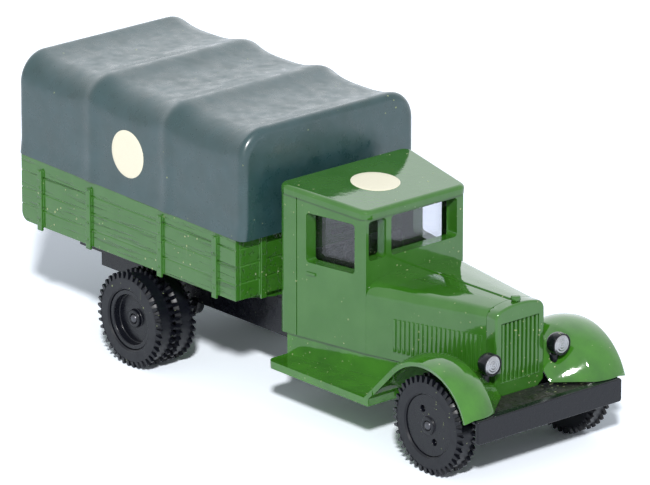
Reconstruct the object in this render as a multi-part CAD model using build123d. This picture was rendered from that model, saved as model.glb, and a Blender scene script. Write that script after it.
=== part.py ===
from build123d import *

import os
from math import atan2, cos, degrees, hypot, radians, sin, sqrt

# A small moulded-plastic scale model (1:87) of a three-ton covered cargo truck.
# Millimetres. +X is the front, +Y the left side, +Z up. The origin is at the
# middle of the model's box, on the ground under the tyres.

# Lengths along the model
BED_BEHIND_AXLE = 18.56     # rear axle to the tailgate's outer face
BED_LENGTH = 34.84
COVER_REAR_LIP = 0.57       # cover past the tailgate
COVER_FRONT_LIP = 1.12      # cover past the headboard
CAB_GAP = 1.8               # cover to the back of the cab
CAB_LENGTH = 11.3
BONNET_LENGTH = 14.4
RADIATOR_DEPTH = 1.47
RADIATOR_AHEAD = 2.57       # front axle to the radiator's face
BUMPER_ROOM = 1.0           # front tyres to the back of the bumper
BUMPER_DEPTH = 0.95
FRAME_SHORT = 0.56          # the rails end this far inside the tailgate

# Fits
PRESS_GAP = 0.02            # between pieces pressed together
RUNNING_GAP = 0.06          # round the axles in their bearings

# Wheels and tyres
TYRE_RADIUS = 5.15          # to the tips of the lugs
TYRE_WIDTH = 2.4
LUG_HEIGHT = 0.45
LUG_COUNT = 39
LUG_ROW = 0.65              # width of each row of lugs
LUG_STEP = 0.06             # the tread's middle lies this much below the notches
RIM_RADIUS = 3.25
TWIN_GAP = 0.3              # between the twin rear tyres
FRONT_FACE_Y = 10.3         # outer faces of the front tyres
REAR_FACE_Y = 12.7          # outer faces of the outer rear tyres
AXLE_RADIUS = 0.5
AXLE_PROUD = 0.12           # axle ends past the hubs
DISC_INSET = 0.3            # wheel face inside the tyre's side
DISC_THICK = 1.0
HUB_RADIUS = 0.95
HUB_HEIGHT = 0.18           # hub past the front wheel's face
DISC_HOLE_RADIUS = 0.35
DISC_HOLE_PLACE = 1.8       # hole centres from the axle
DISC_HOLE_DEPTH = 0.5
DISC_HOLE_TURN = 119.0      # first hole, degrees above the front; the other is opposite
DISH_RIM = 0.53             # ring of the rear wheels round their recess
DISH_DEPTH = 0.85
HUB_SHORT = 0.42            # rear hub below the ring

# Chassis frame
TYRE_ROOM = 1.0             # over the rear tyres to the boards of the bed
BEARER_DEPTH = 0.9
SILL_HEIGHT = 0.8
SILL_WIDTH = 1.5
RAIL_OUTER_Y = 4.4
RAIL_THICK = 1.0
RAIL_DEPTH = 4.0
RAIL_TAIL_DEPTH = 2.6
RAIL_TAIL_LENGTH = 3.6
RAIL_NOSE_DEPTH = 0.9
RAIL_SLOPE_START = 1.5      # cab front back to where the rails drop
RAIL_SLOPE_LENGTH = 5.0
BEARING_RADIUS = 1.3
BEARING_DRAFT = 0.6         # the brackets widen this much towards the rails
MEMBER_LENGTH = 1.2
MEMBER_DEPTH = 1.6

# Load bed
BED_HALF_WIDTH = 11.8
BED_SIDE_HEIGHT = 7.38      # at the tailgate
BOARD_THICK = 0.6
FLOOR_THICK = 0.8
BOARD_COUNT = 4
BOARD_GROOVE = 0.14
STAKE_WIDTH = 0.75
STAKE_PROUD = 0.3
STAKE_DROP = 0.35           # stakes below the boards
STAKE_SHORT = 0.35          # stakes below the top of the boards
STAKE_SHARES = (0.09, 0.342, 0.674, 0.905)  # stakes along a side, in bed lengths from its front
END_STAKE_INSET = 3.6       # stakes of the end walls from the bed's side
BEARER_LENGTH = 1.2
BEARER_SHARES = (0, 0.3, 0.7, 1)            # bearers under the floor, from its back
BEARER_TAPER = 5.2          # the bearers rise over this width at each side
SIDE_CORNER = 1.0           # rounded lower rear corner of the sides

# Cover
COVER_PROUD = 0.1           # cover past the boards at each side
COVER_HEIGHT = 11.02        # over its lower edge at the back
COVER_FALL = 0.73           # the lower edge falls this much to the front
COVER_CORNER = 3.2
COVER_SAG = 0.7
COVER_WALL = 0.9
COVER_FLARE = 0.2
COVER_FLARE_HEIGHT = 1.6
COVER_BAYS = 3
COVER_END_ROUND = 0.6       # rounding of the cover's end edges

# Cab
CAB_REAR_HALF = 8.7
CAB_TAPER = 2.1             # each side draws in this much to the front
CAB_SKIRT = 1.27            # cab below the top of the rails
CAB_HEIGHT = 15.12          # lower edge to the roof, at the back
CAB_WALL = 1.3
CAB_CORNER = 0.8
ROOF_FALL = 0.83            # the roof falls this much to the front
ROOF_THICK = 0.95
ROOF_OVERHANG = 0.28
ROOF_CORNER = 1.1
ROOF_EDGE = 0.5
CAB_FLOOR_THICK = 0.8
DOOR_WINDOW_BACK = 3.7      # cab back to the door window
DOOR_WINDOW_POST = 0.15     # door window to the front wall
DOOR_WINDOW_SILL = 8.17     # over the cab's lower edge
DOOR_WINDOW_HEADER = 1.65   # below the roof's height at the back
DOOR_LENGTH = 8.9           # cab's front corner to the door's rear edge
DOOR_GROOVE = 0.12
HANDLE_INSET = 1.3          # door's rear edge to the handle
HANDLE_LENGTH = 1.1
HANDLE_HEIGHT = 0.28
HANDLE_PROUD = 0.15
HANDLE_DROP = 1.0           # below the door window
WINDOW_CORNER = 0.4
SCREEN_SILL = 9.77          # over the cab's lower edge
SCREEN_HEADER = 0.32        # below the roof
PILLAR_RIGHT = 0.35
POST_RIGHT = 3.05           # middle of the windscreen post from the corner
POST_WIDTH = 0.7
PILLAR_LEFT = 0.85
BACK_WINDOW_HALF = 2.6
BACK_WINDOW_HEADER = 2.85   # below the roof
BACK_WINDOW_HEIGHT = 3.0
GLASS_SILL = 7.37           # over the cab's lower edge
GLASS_THICK = 0.5
GLASS_GAP = 0.05

# Cab inside
SEAT_ROOM = 0.3             # seat to the glazing
SEAT_DEPTH = 4.3
SEAT_HEIGHT = 3.2
BACKREST_HEIGHT = 3.4       # over the seat
BACKREST_THICK = 1.3
SEAT_ROUND = 0.4
STEERING_Y = 2.9
STEERING_RADIUS = 1.7
STEERING_RIM = 0.35
STEERING_RISE = 1.4         # wheel centre over the seat
STEERING_AHEAD = 3.7        # wheel centre in front of the backrest
COLUMN_RADIUS = 0.25

# Bonnet and radiator
BONNET_SIDE = 7.35          # height of the bonnet's side at the cab
BONNET_RISE = 0.65          # crown over the sides, at the cab
BONNET_WALL = 0.8
BONNET_SHOULDER = 1.6       # rounding between the bonnet's top and sides, at the cab
HINGE_WIDTH = 0.26
HINGE_PROUD = 0.12
RADIATOR_HALF = 3.3
RADIATOR_FOOT = 1.08        # bottom of the rails to the radiator's foot
RADIATOR_CHAMFER = 1.0
RADIATOR_CUT = 1.23         # width of each cut lower corner
RADIATOR_SIDE = 9.25        # height of the radiator's sides
RADIATOR_RISE = 0.6         # crown over the sides
RADIATOR_CORNER = 1.1       # rounding between the radiator's top and sides
RADIATOR_ROUND = 0.25
GRILLE_MARGIN = 0.75        # grille to the radiator's sides
GRILLE_SILL = 1.87          # radiator's foot to the grille
GRILLE_HEIGHT = 6.2
GRILLE_DEPTH = 0.35
GRILLE_BARS = 9
GRILLE_BAR = 0.32
CAP_RADIUS = 0.5
CAP_HEIGHT = 0.55
LOUVRE_PITCH = 0.54
LOUVRE_WIDTH = 0.27
LOUVRE_PROUD = 0.14
LOUVRE_RISE = 0.97          # louvres over the bonnet's lower edge
LOUVRE_DROP = 1.5           # louvres below the bonnet's shoulder
LOUVRE_START = 0.35         # radiator back to the first louvre
LOUVRE_END = 3.2            # last louvre to the cab

# Front fenders and running boards
FENDER_PROUD = 0.62         # fenders past the tyres' outer faces
FENDER_ROOM = 1.05          # fenders past the tyres' inner faces
ARCH_ROOM = 1.1             # lugs to the arch
FENDER_EDGE = 0.45
FENDER_CROWN = 0.85
TIP_ROOM = 0.1              # bumper to the fenders' front edge
RAIL_ROOM = 0.1             # fenders to the rails
FENDER_END = 135.0          # where the arch turns straight
FENDER_THICK = 0.7
VALANCE_DROP = 1.35         # inner panel under the arch
VALANCE_SWEEP = 1.7         # the inner panel rises to the arch over this width
STEP_DROP = 2.43            # cab's lower edge to the running board
STEP_THICK = 0.8
STEP_BACK = 0.9             # the cab reaches this much further back
STEP_CORNER = 0.9
APRON_INSET = 0.4
APRON_THICK = 0.6

# Lamps
LAMP_OUT = 1.39             # radiator's side to the middle of a lamp
LAMP_RISE = 1.19            # inner panel to the middle of a lamp
LAMP_AHEAD = 3.7            # front axle to the face of the lamps
LAMP_RADIUS = 1.15
LAMP_RIM = 0.17
LAMP_BARREL = 0.65          # straight part in front of the half-round back
LENS_DEPTH = 0.3
LENS_DOME = 0.15
STALK_RADIUS = 0.32
STALK_FOOT = 0.45           # radius of the stalk's foot
STALK_FOOT_HEIGHT = 0.6

# Bumper
BUMPER_HALF = 9.8
BUMPER_DROP = 0.7           # below the rails
BUMPER_HEIGHT = 2.5
BUMPER_WALL = 0.45
BUMPER_ROUND = 0.3
PLATE_ROOM = 0.6            # apron plate to the front tyres
PLATE_THICK = 0.7

# Heights worked out from the sizes above
BED_BOTTOM = 2 * TYRE_RADIUS + TYRE_ROOM
BEARER_BOTTOM = BED_BOTTOM - BEARER_DEPTH
RAIL_TOP = BEARER_BOTTOM - SILL_HEIGHT
RAIL_BOTTOM = RAIL_TOP - RAIL_DEPTH
RAIL_TAIL_BOTTOM = RAIL_TOP - RAIL_TAIL_DEPTH
RAIL_NOSE_TOP = RAIL_BOTTOM + RAIL_NOSE_DEPTH
COVER_EDGE_REAR = BED_BOTTOM + BED_SIDE_HEIGHT
COVER_EDGE_FRONT = COVER_EDGE_REAR - COVER_FALL
COVER_TOP = COVER_EDGE_REAR + COVER_HEIGHT
CAB_BOTTOM = RAIL_TOP - CAB_SKIRT
CAB_FLOOR_TOP = RAIL_TOP + CAB_FLOOR_THICK
ROOF_REAR_Z = CAB_BOTTOM + CAB_HEIGHT
ROOF_FRONT_Z = ROOF_REAR_Z - ROOF_FALL
BONNET_REAR_SIDE = CAB_BOTTOM + BONNET_SIDE
RADIATOR_BOTTOM = RAIL_BOTTOM + RADIATOR_FOOT
RADIATOR_SHOULDER = RADIATOR_BOTTOM + RADIATOR_SIDE
RADIATOR_CROWN = RADIATOR_SHOULDER + RADIATOR_RISE
STEP_TOP = CAB_BOTTOM - STEP_DROP
STEP_BOTTOM = STEP_TOP - STEP_THICK
BUMPER_BOTTOM = RAIL_BOTTOM - BUMPER_DROP
BUMPER_TOP = BUMPER_BOTTOM + BUMPER_HEIGHT

# Stations along the model
BED_AHEAD = BED_LENGTH - BED_BEHIND_AXLE
CAB_AHEAD = BED_AHEAD + COVER_FRONT_LIP + CAB_GAP
RADIATOR_BACK_AHEAD = CAB_AHEAD + CAB_LENGTH + BONNET_LENGTH
WHEELBASE = RADIATOR_BACK_AHEAD + RADIATOR_DEPTH - RADIATOR_AHEAD
BUMPER_AHEAD = TYRE_RADIUS + BUMPER_ROOM + BUMPER_DEPTH
REAR_OVERHANG = BED_BEHIND_AXLE + COVER_REAR_LIP
LENGTH = REAR_OVERHANG + WHEELBASE + BUMPER_AHEAD
REAR_AXLE_X = REAR_OVERHANG - LENGTH / 2
FRONT_AXLE_X = REAR_AXLE_X + WHEELBASE
BED_REAR_X = REAR_AXLE_X - BED_BEHIND_AXLE
BED_FRONT_X = REAR_AXLE_X + BED_AHEAD
COVER_REAR_X = BED_REAR_X - COVER_REAR_LIP
COVER_FRONT_X = BED_FRONT_X + COVER_FRONT_LIP
COVER_LENGTH = COVER_FRONT_X - COVER_REAR_X
CAB_REAR_X = REAR_AXLE_X + CAB_AHEAD
CAB_FRONT_X = CAB_REAR_X + CAB_LENGTH
RADIATOR_REAR_X = CAB_FRONT_X + BONNET_LENGTH
RADIATOR_FRONT_X = RADIATOR_REAR_X + RADIATOR_DEPTH
BUMPER_FRONT_X = FRONT_AXLE_X + BUMPER_AHEAD
BUMPER_REAR_X = BUMPER_FRONT_X - BUMPER_DEPTH
RAIL_REAR_X = BED_REAR_X + FRAME_SHORT

# Widths and radii
RAIL_INNER_Y = RAIL_OUTER_Y - RAIL_THICK
CAB_FRONT_HALF = CAB_REAR_HALF - CAB_TAPER
BED_INNER_HALF = BED_HALF_WIDTH - BOARD_THICK
COVER_HALF_WIDTH = BED_HALF_WIDTH + COVER_PROUD
FENDER_OUTER_Y = FRONT_FACE_Y + FENDER_PROUD
FENDER_INNER_Y = FRONT_FACE_Y - TYRE_WIDTH - FENDER_ROOM
VALANCE_Y = FENDER_INNER_Y - VALANCE_SWEEP
ARCH_RADIUS = TYRE_RADIUS + ARCH_ROOM
VALANCE_RADIUS = ARCH_RADIUS - VALANCE_DROP
LAMP_Y = RADIATOR_HALF + LAMP_OUT
LAMP_Z = TYRE_RADIUS + VALANCE_RADIUS + LAMP_RISE
LENS_RADIUS = LAMP_RADIUS - LAMP_RIM
SEAT_INSET = CAB_WALL + 2 * GLASS_GAP + GLASS_THICK
SIDES = {"left": 1, "right": -1}


def outline(*points):
    """A closed face with straight edges through the points."""
    return make_face(Polyline(*points, close=True))


def rectangle(a_from, b_from, a_to, b_to):
    return outline((a_from, b_from), (a_to, b_from), (a_to, b_to), (a_from, b_to))


def across(face, y_from, y_to):
    """Carry a face drawn in X and Z across the truck."""
    return extrude(Plane((0, y_to, 0), x_dir=(1, 0, 0), z_dir=(0, -1, 0)) * face, y_to - y_from)


def along(face, x_from, x_to):
    """Carry a face drawn in Y and Z along the truck."""
    return extrude(Plane((x_from, 0, 0), x_dir=(0, 1, 0), z_dir=(1, 0, 0)) * face, x_to - x_from)


def upward(face, z_from, z_to):
    """Carry a face drawn in plan from one height to another."""
    return extrude(Plane((0, 0, z_from)) * face, z_to - z_from)


def to_side(shape, side):
    """Pieces are drawn on the left; the right one is its mirror image."""
    return shape if side > 0 else mirror(shape, Plane.XZ)


def under(shape, plane):
    """What is left of a shape below a tilted plane."""
    return split(shape, bisect_by=plane, keep=Keep.BOTTOM)


def save(name, shape):
    export_step(shape, f"parts/{name}.step")


def lug_star(root, tip):
    """Outline of a row of pointed lugs, seen from the side."""
    points = []
    for i in range(2 * LUG_COUNT):
        reach = root if i % 2 else tip
        turn = radians(180 * i / LUG_COUNT)
        points.append((reach * cos(turn), reach * sin(turn)))
    return outline(*points)


def tyre():
    """Flat-sided ring about Y, smooth in the middle, with a row of pointed lugs at each shoulder."""
    half = TYRE_WIDTH / 2
    row = half - LUG_ROW
    notch = TYRE_RADIUS - LUG_HEIGHT
    rim = Circle(RIM_RADIUS)
    lugs = lug_star(notch, TYRE_RADIUS) - rim
    ring = across(Circle(notch - LUG_STEP) - rim, -row, row)
    ring += across(lugs, row, half)
    ring += across(lugs, -half, -row)
    return ring


def front_wheel():
    """Nearly flat disc with a low hub and two round recesses, its face towards +Y."""
    face = TYRE_WIDTH / 2 - DISC_INSET
    back = -TYRE_WIDTH / 2 + DISC_INSET
    bore = AXLE_RADIUS + PRESS_GAP
    rim = RIM_RADIUS - PRESS_GAP
    section = outline(
        (bore, back), (HUB_RADIUS, back), (HUB_RADIUS, face - DISC_THICK), (rim, face - DISC_THICK),
        (rim, face), (HUB_RADIUS, face), (HUB_RADIUS, face + HUB_HEIGHT), (bore, face + HUB_HEIGHT),
    )
    disc = revolve(section, Axis.Y)
    for turn in (DISC_HOLE_TURN, DISC_HOLE_TURN + 180):
        spot = Pos(DISC_HOLE_PLACE * cos(radians(turn)), DISC_HOLE_PLACE * sin(radians(turn)))
        disc -= across(spot * Circle(DISC_HOLE_RADIUS), face - DISC_HOLE_DEPTH, face)
    return disc


def rear_wheel(inner_y, outer_y):
    """Spool that carries the twin tyres, dished on its outer side, drawn at its place on the left."""
    bore = AXLE_RADIUS + PRESS_GAP
    rim = RIM_RADIUS - PRESS_GAP
    dish = rim - DISH_RIM
    floor = outer_y - DISH_DEPTH
    hub = outer_y - HUB_SHORT
    section = outline(
        (bore, inner_y), (rim, inner_y), (rim, outer_y), (dish, outer_y), (dish, floor),
        (HUB_RADIUS, floor), (HUB_RADIUS, hub), (bore, hub),
    )
    return revolve(section, Axis.Y)


def axle(half_length):
    return across(Circle(AXLE_RADIUS), -half_length, half_length)


def wheels():
    """Both wheel sets, each turning with its axle."""
    half = TYRE_WIDTH / 2
    front_at = Pos(FRONT_AXLE_X, 0, TYRE_RADIUS)
    rear_at = Pos(REAR_AXLE_X, 0, TYRE_RADIUS)
    front_y = FRONT_FACE_Y - half
    outer_y = REAR_FACE_Y - half
    inner_y = outer_y - TYRE_WIDTH - TWIN_GAP
    hub_outer = REAR_FACE_Y - DISC_INSET
    hub_inner = inner_y - half + DISC_INSET
    front_end = FRONT_FACE_Y - DISC_INSET + HUB_HEIGHT + AXLE_PROUD
    rear_end = hub_outer - HUB_SHORT + AXLE_PROUD
    save("front_axle", front_at * axle(front_end))
    save("rear_axle", rear_at * axle(rear_end))
    ring = tyre()
    disc = front_wheel()
    twin = rear_wheel(hub_inner, hub_outer)
    for name, side in SIDES.items():
        save(f"front_tyre_{name}", front_at * Pos(0, side * front_y, 0) * ring)
        save(f"front_wheel_{name}", front_at * to_side(Pos(0, front_y, 0) * disc, side))
        save(f"rear_tyre_outer_{name}", rear_at * Pos(0, side * outer_y, 0) * ring)
        save(f"rear_tyre_inner_{name}", rear_at * Pos(0, side * inner_y, 0) * ring)
        save(f"rear_wheel_{name}", rear_at * to_side(twin, side))


def chassis_frame():
    """Two deep rails with bearing brackets round the axles, tied by cross members."""
    tail_x = RAIL_REAR_X + RAIL_TAIL_LENGTH
    slope_x = CAB_FRONT_X - RAIL_SLOPE_START
    rail = outline(
        (RAIL_REAR_X, RAIL_TAIL_BOTTOM), (tail_x, RAIL_TAIL_BOTTOM), (tail_x, RAIL_BOTTOM),
        (BUMPER_REAR_X, RAIL_BOTTOM), (BUMPER_REAR_X, RAIL_NOSE_TOP),
        (slope_x + RAIL_SLOPE_LENGTH, RAIL_NOSE_TOP), (slope_x, RAIL_TOP), (RAIL_REAR_X, RAIL_TOP),
    )
    for axle_x in (REAR_AXLE_X, FRONT_AXLE_X):
        centre = Pos(axle_x, TYRE_RADIUS)
        rail += centre * Circle(BEARING_RADIUS)
        half, root = BEARING_RADIUS, BEARING_RADIUS + BEARING_DRAFT
        rail += outline(
            (axle_x - half, TYRE_RADIUS), (axle_x + half, TYRE_RADIUS),
            (axle_x + root, RAIL_NOSE_TOP), (axle_x - root, RAIL_NOSE_TOP),
        )
        rail -= centre * Circle(AXLE_RADIUS + RUNNING_GAP)
    frame = across(rail, RAIL_INNER_Y, RAIL_OUTER_Y)
    frame += mirror(frame, Plane.XZ)
    for x, top in member_places():
        member = rectangle(-RAIL_INNER_Y, top - MEMBER_DEPTH, RAIL_INNER_Y, top)
        frame += along(member, x - MEMBER_LENGTH / 2, x + MEMBER_LENGTH / 2)
    foot = rectangle(-RAIL_INNER_Y, RAIL_BOTTOM, RAIL_INNER_Y, RADIATOR_BOTTOM)
    frame += along(foot, RADIATOR_REAR_X, RADIATOR_FRONT_X)
    return frame


def member_places():
    """Middle and top of each cross member along the frame."""
    half = MEMBER_LENGTH / 2
    return (
        (RAIL_REAR_X + half, RAIL_TOP),
        (REAR_AXLE_X - BED_BEHIND_AXLE / 2, RAIL_TOP),
        (REAR_AXLE_X + BED_AHEAD / 2, RAIL_TOP),
        (BED_FRONT_X - half, RAIL_TOP),
        (CAB_FRONT_X - RAIL_SLOPE_START - half, RAIL_TOP),
    )


def bed_sills():
    """Timbers that lie on the rails and carry the bed's bearers."""
    sill = rectangle(RAIL_OUTER_Y - SILL_WIDTH, RAIL_TOP, RAIL_OUTER_Y, BEARER_BOTTOM)
    left = along(sill, RAIL_REAR_X, BED_FRONT_X)
    return Compound([left, mirror(left, Plane.XZ)])


def front_bumper():
    """Channel with its open side to the rear and rounded ends."""
    back, front = BUMPER_REAR_X, BUMPER_FRONT_X
    face = rectangle(-BUMPER_HALF, BUMPER_BOTTOM, BUMPER_HALF, BUMPER_TOP)
    face = fillet(face.vertices(), BUMPER_ROUND)
    hollow = rectangle(-BUMPER_HALF, BUMPER_BOTTOM + BUMPER_WALL, BUMPER_HALF, BUMPER_TOP - BUMPER_WALL)
    return along(face, back, front) - along(hollow, back, front - BUMPER_WALL)


def front_apron():
    """Flat plate on the rail noses, from the radiator's foot to the bumper."""
    half = FRONT_FACE_Y - TYRE_WIDTH - PLATE_ROOM
    plate = rectangle(RADIATOR_FRONT_X, -half, BUMPER_REAR_X, half)
    return upward(plate, RAIL_NOSE_TOP, RAIL_NOSE_TOP + PLATE_THICK)


def cover_edge_plane():
    """The slightly sloping plane on which the cover sits, facing up."""
    slope = atan2(-COVER_FALL, COVER_LENGTH)
    start = (COVER_REAR_X, 0, COVER_EDGE_REAR)
    return Plane(start, x_dir=(cos(slope), 0, sin(slope)), z_dir=(-sin(slope), 0, cos(slope)))


def board_panel(length, top):
    """A wall of boards, outer face up, from (0, 0) to (length, top), with grooves between boards."""
    panel = extrude(rectangle(0, 0, length, top), -BOARD_THICK)
    pitch = BED_SIDE_HEIGHT / BOARD_COUNT
    for i in range(1, BOARD_COUNT):
        panel -= Pos(length / 2, i * pitch, 0) * Rot(X=45) * Box(length, BOARD_GROOVE, BOARD_GROOVE)
    return panel


def stake(place, top):
    """An upright on the outer face of a wall of boards."""
    half = STAKE_WIDTH / 2
    return extrude(rectangle(place - half, -STAKE_DROP, place + half, top - STAKE_SHORT), STAKE_PROUD)


def bed_side():
    """The left wall of the load bed, its top cut to the cover's edge."""
    panel = board_panel(BED_LENGTH, BED_SIDE_HEIGHT)
    lower_rear = panel.edges().filter_by(Axis.Z).sort_by(Axis.Y)[:2].sort_by(Axis.X)[-1]
    panel = fillet(lower_rear, SIDE_CORNER)
    for share in STAKE_SHARES:
        panel += stake(share * BED_LENGTH, COVER_EDGE_FRONT - BED_BOTTOM)
    wall = Plane((BED_FRONT_X, BED_HALF_WIDTH, BED_BOTTOM), x_dir=(-1, 0, 0), z_dir=(0, 1, 0)) * panel
    return under(wall, cover_edge_plane())


def bed_end(x, facing):
    """A wall of boards between the sides, at one end of the bed."""
    width = 2 * BED_INNER_HALF
    top = COVER_EDGE_FRONT - BED_BOTTOM
    panel = board_panel(width, top)
    inset = END_STAKE_INSET - BOARD_THICK
    for place in (inset, width - inset):
        panel += stake(place, top)
    start = (x, -facing * BED_INNER_HALF, BED_BOTTOM)
    return Plane(start, x_dir=(0, facing, 0), z_dir=(facing, 0, 0)) * panel


def bed_floor():
    """Floor with bearers that taper towards the sides."""
    x_from, x_to = BED_REAR_X + BOARD_THICK, BED_FRONT_X - BOARD_THICK
    plan = rectangle(x_from, -BED_INNER_HALF, x_to, BED_INNER_HALF)
    floor = upward(plan, BED_BOTTOM, BED_BOTTOM + FLOOR_THICK)
    flat = BED_INNER_HALF - BEARER_TAPER
    bearer = outline(
        (-BED_INNER_HALF, BED_BOTTOM), (-flat, BEARER_BOTTOM),
        (flat, BEARER_BOTTOM), (BED_INNER_HALF, BED_BOTTOM),
    )
    run = x_to - x_from - BEARER_LENGTH
    for share in BEARER_SHARES:
        x = x_from + share * run
        floor += along(bearer, x, x + BEARER_LENGTH)
    return floor


def cover_section(half_width, top, corner, flare):
    """Round-cornered outline of the cover in Y and Z, its sides brought down below its edge."""
    foot = COVER_EDGE_FRONT - COVER_FLARE_HEIGHT
    knee = COVER_EDGE_REAR + COVER_FLARE_HEIGHT
    mid = corner * (1 - cos(radians(45)))
    right, left = -half_width, half_width
    return make_face([
        Polyline((right - flare, foot), (right, knee), (right, top - corner)),
        ThreePointArc((right, top - corner), (right + mid, top - mid), (right + corner, top)),
        Line((right + corner, top), (left - corner, top)),
        ThreePointArc((left - corner, top), (left - mid, top - mid), (left, top - corner)),
        Polyline((left, top - corner), (left, knee), (left + flare, foot)),
        Line((left + flare, foot), (right - flare, foot)),
    ])


def cover():
    """Hard shell over the bed: it hangs a little between its bows."""
    bay = COVER_LENGTH / COVER_BAYS
    bend = (bay / 2) ** 2 / (2 * COVER_SAG) + COVER_SAG / 2
    low_top = COVER_TOP - COVER_SAG
    section = cover_section(COVER_HALF_WIDTH, low_top, COVER_CORNER, COVER_FLARE)
    swing = 2 * degrees(atan2(bay, bend))
    reach = 2 * COVER_TOP
    shell = None
    for i in range(COVER_BAYS):
        x_from = COVER_REAR_X + i * bay
        middle = x_from + bay / 2
        axis = Axis((middle, 0, low_top + bend), (0, 1, 0))
        face = Plane((middle, 0, 0), x_dir=(0, 1, 0), z_dir=(1, 0, 0)) * section
        hanging = revolve(face.rotate(axis, -swing / 2), axis, swing)
        hanging &= along(rectangle(-reach, 0, reach, reach), x_from, x_from + bay)
        shell = hanging if shell is None else shell + hanging
    ends = shell.faces().sort_by(Axis.X)
    shell = fillet(ends[0].edges() + ends[-1].edges(), COVER_END_ROUND)
    inner_half = COVER_HALF_WIDTH - COVER_WALL
    inner = cover_section(inner_half, low_top - COVER_WALL, COVER_CORNER - COVER_WALL, 0)
    shell -= along(inner, COVER_REAR_X + COVER_WALL, COVER_FRONT_X - COVER_WALL)
    return split(shell, bisect_by=cover_edge_plane(), keep=Keep.TOP)


def roof_plane():
    """Underside of the cab roof, facing up and sloping to the front."""
    slope = atan2(-ROOF_FALL, CAB_LENGTH)
    start = (CAB_REAR_X, 0, ROOF_REAR_Z)
    return Plane(start, x_dir=(cos(slope), 0, sin(slope)), z_dir=(-sin(slope), 0, cos(slope)))


def cab_half(x):
    """Half width of the cab's outside at a station."""
    share = (x - CAB_REAR_X) / CAB_LENGTH
    return CAB_REAR_HALF - share * CAB_TAPER


def cab_plan(inset, x_from, x_to):
    """Plan of the cab between two stations, each side drawn in by the inset."""
    rear, front = cab_half(x_from) - inset, cab_half(x_to) - inset
    return outline((x_from, -rear), (x_to, -front), (x_to, front), (x_from, rear))


def window(a_from, b_from, a_to, b_to):
    """A window opening with small rounded corners."""
    centre = Pos((a_from + a_to) / 2, (b_from + b_to) / 2)
    return centre * RectangleRounded(a_to - a_from, b_to - b_from, WINDOW_CORNER)


def on_door(back_from, z_from, back_to, z_to):
    """A rectangle on the left door's outer face, measured back from the cab's front corner and up."""
    corner = (CAB_FRONT_X, CAB_FRONT_HALF, CAB_BOTTOM)
    face = Plane(corner, x_dir=(-CAB_LENGTH, CAB_TAPER, 0), z_dir=(CAB_TAPER, CAB_LENGTH, 0))
    return face * rectangle(back_from, z_from, back_to, z_to)


def cab_side():
    """Left door and quarter in one wall, behind the front wall, with the door's edge and handle."""
    x_to = CAB_FRONT_X - CAB_WALL
    rear, front = cab_half(CAB_REAR_X), cab_half(x_to)
    plan = outline(
        (CAB_REAR_X, rear), (x_to, front), (x_to, front - CAB_WALL), (CAB_REAR_X, rear - CAB_WALL),
    )
    wall = upward(plan, CAB_BOTTOM, COVER_TOP)
    wall = fillet(wall.edges().filter_by(Axis.Z).group_by(Axis.X)[0].sort_by(Axis.Y)[-1], CAB_CORNER)
    sill = CAB_BOTTOM + DOOR_WINDOW_SILL
    header = ROOF_REAR_Z - DOOR_WINDOW_HEADER
    opening = window(CAB_REAR_X + DOOR_WINDOW_BACK, sill, x_to - DOOR_WINDOW_POST, header)
    wall -= across(opening, 0, 2 * CAB_REAR_HALF)
    wall -= extrude(on_door(DOOR_LENGTH, 0, DOOR_LENGTH + DOOR_GROOVE, 2 * CAB_HEIGHT), -DOOR_GROOVE)
    back, top = DOOR_LENGTH - HANDLE_INSET, DOOR_WINDOW_SILL - HANDLE_DROP
    wall += extrude(on_door(back - HANDLE_LENGTH, top - HANDLE_HEIGHT, back, top), HANDLE_PROUD)
    return under(wall, roof_plane())


def rail_notch(x_from, x_to):
    """Room for the rails under a wall of the cab."""
    return along(rectangle(-RAIL_OUTER_Y, CAB_BOTTOM, RAIL_OUTER_Y, RAIL_TOP), x_from, x_to)


def cab_back():
    """Rear wall between the sides, notched over the rails, with one small window."""
    x_to = CAB_REAR_X + CAB_WALL
    wall = upward(cab_plan(CAB_WALL, CAB_REAR_X, x_to), CAB_BOTTOM, COVER_TOP)
    header = ROOF_REAR_Z - BACK_WINDOW_HEADER
    opening = window(-BACK_WINDOW_HALF, header - BACK_WINDOW_HEIGHT, BACK_WINDOW_HALF, header)
    wall -= along(opening, CAB_REAR_X, x_to)
    wall -= rail_notch(CAB_REAR_X, x_to)
    return under(wall, roof_plane())


def cab_front():
    """Front wall with a narrow right pane and a wide left one, notched over the rails."""
    x_from = CAB_FRONT_X - CAB_WALL
    wall = upward(cab_plan(0, x_from, CAB_FRONT_X), CAB_BOTTOM, COVER_TOP)
    right = -CAB_FRONT_HALF
    post = right + POST_RIGHT
    sill = CAB_BOTTOM + SCREEN_SILL
    panes = (
        (right + PILLAR_RIGHT, post - POST_WIDTH / 2),
        (post + POST_WIDTH / 2, CAB_FRONT_HALF - PILLAR_LEFT),
    )
    for y_from, y_to in panes:
        wall -= along(window(y_from, sill, y_to, ROOF_FRONT_Z - SCREEN_HEADER), x_from, CAB_FRONT_X)
    wall -= rail_notch(x_from, CAB_FRONT_X)
    return under(wall, roof_plane())


def cab_roof():
    """Sloping roof plate with rounded corners and edges."""
    run = hypot(CAB_LENGTH, ROOF_FALL) + ROOF_OVERHANG
    rear, front = CAB_REAR_HALF + ROOF_OVERHANG, CAB_FRONT_HALF + ROOF_OVERHANG
    plan = outline((0, -rear), (run, -front), (run, front), (0, rear))
    plan = fillet(plan.vertices(), ROOF_CORNER)
    plate = extrude(plan, ROOF_THICK)
    plate = fillet(plate.faces().sort_by(Axis.Z)[-1].edges(), ROOF_EDGE)
    return roof_plane() * plate


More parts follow.
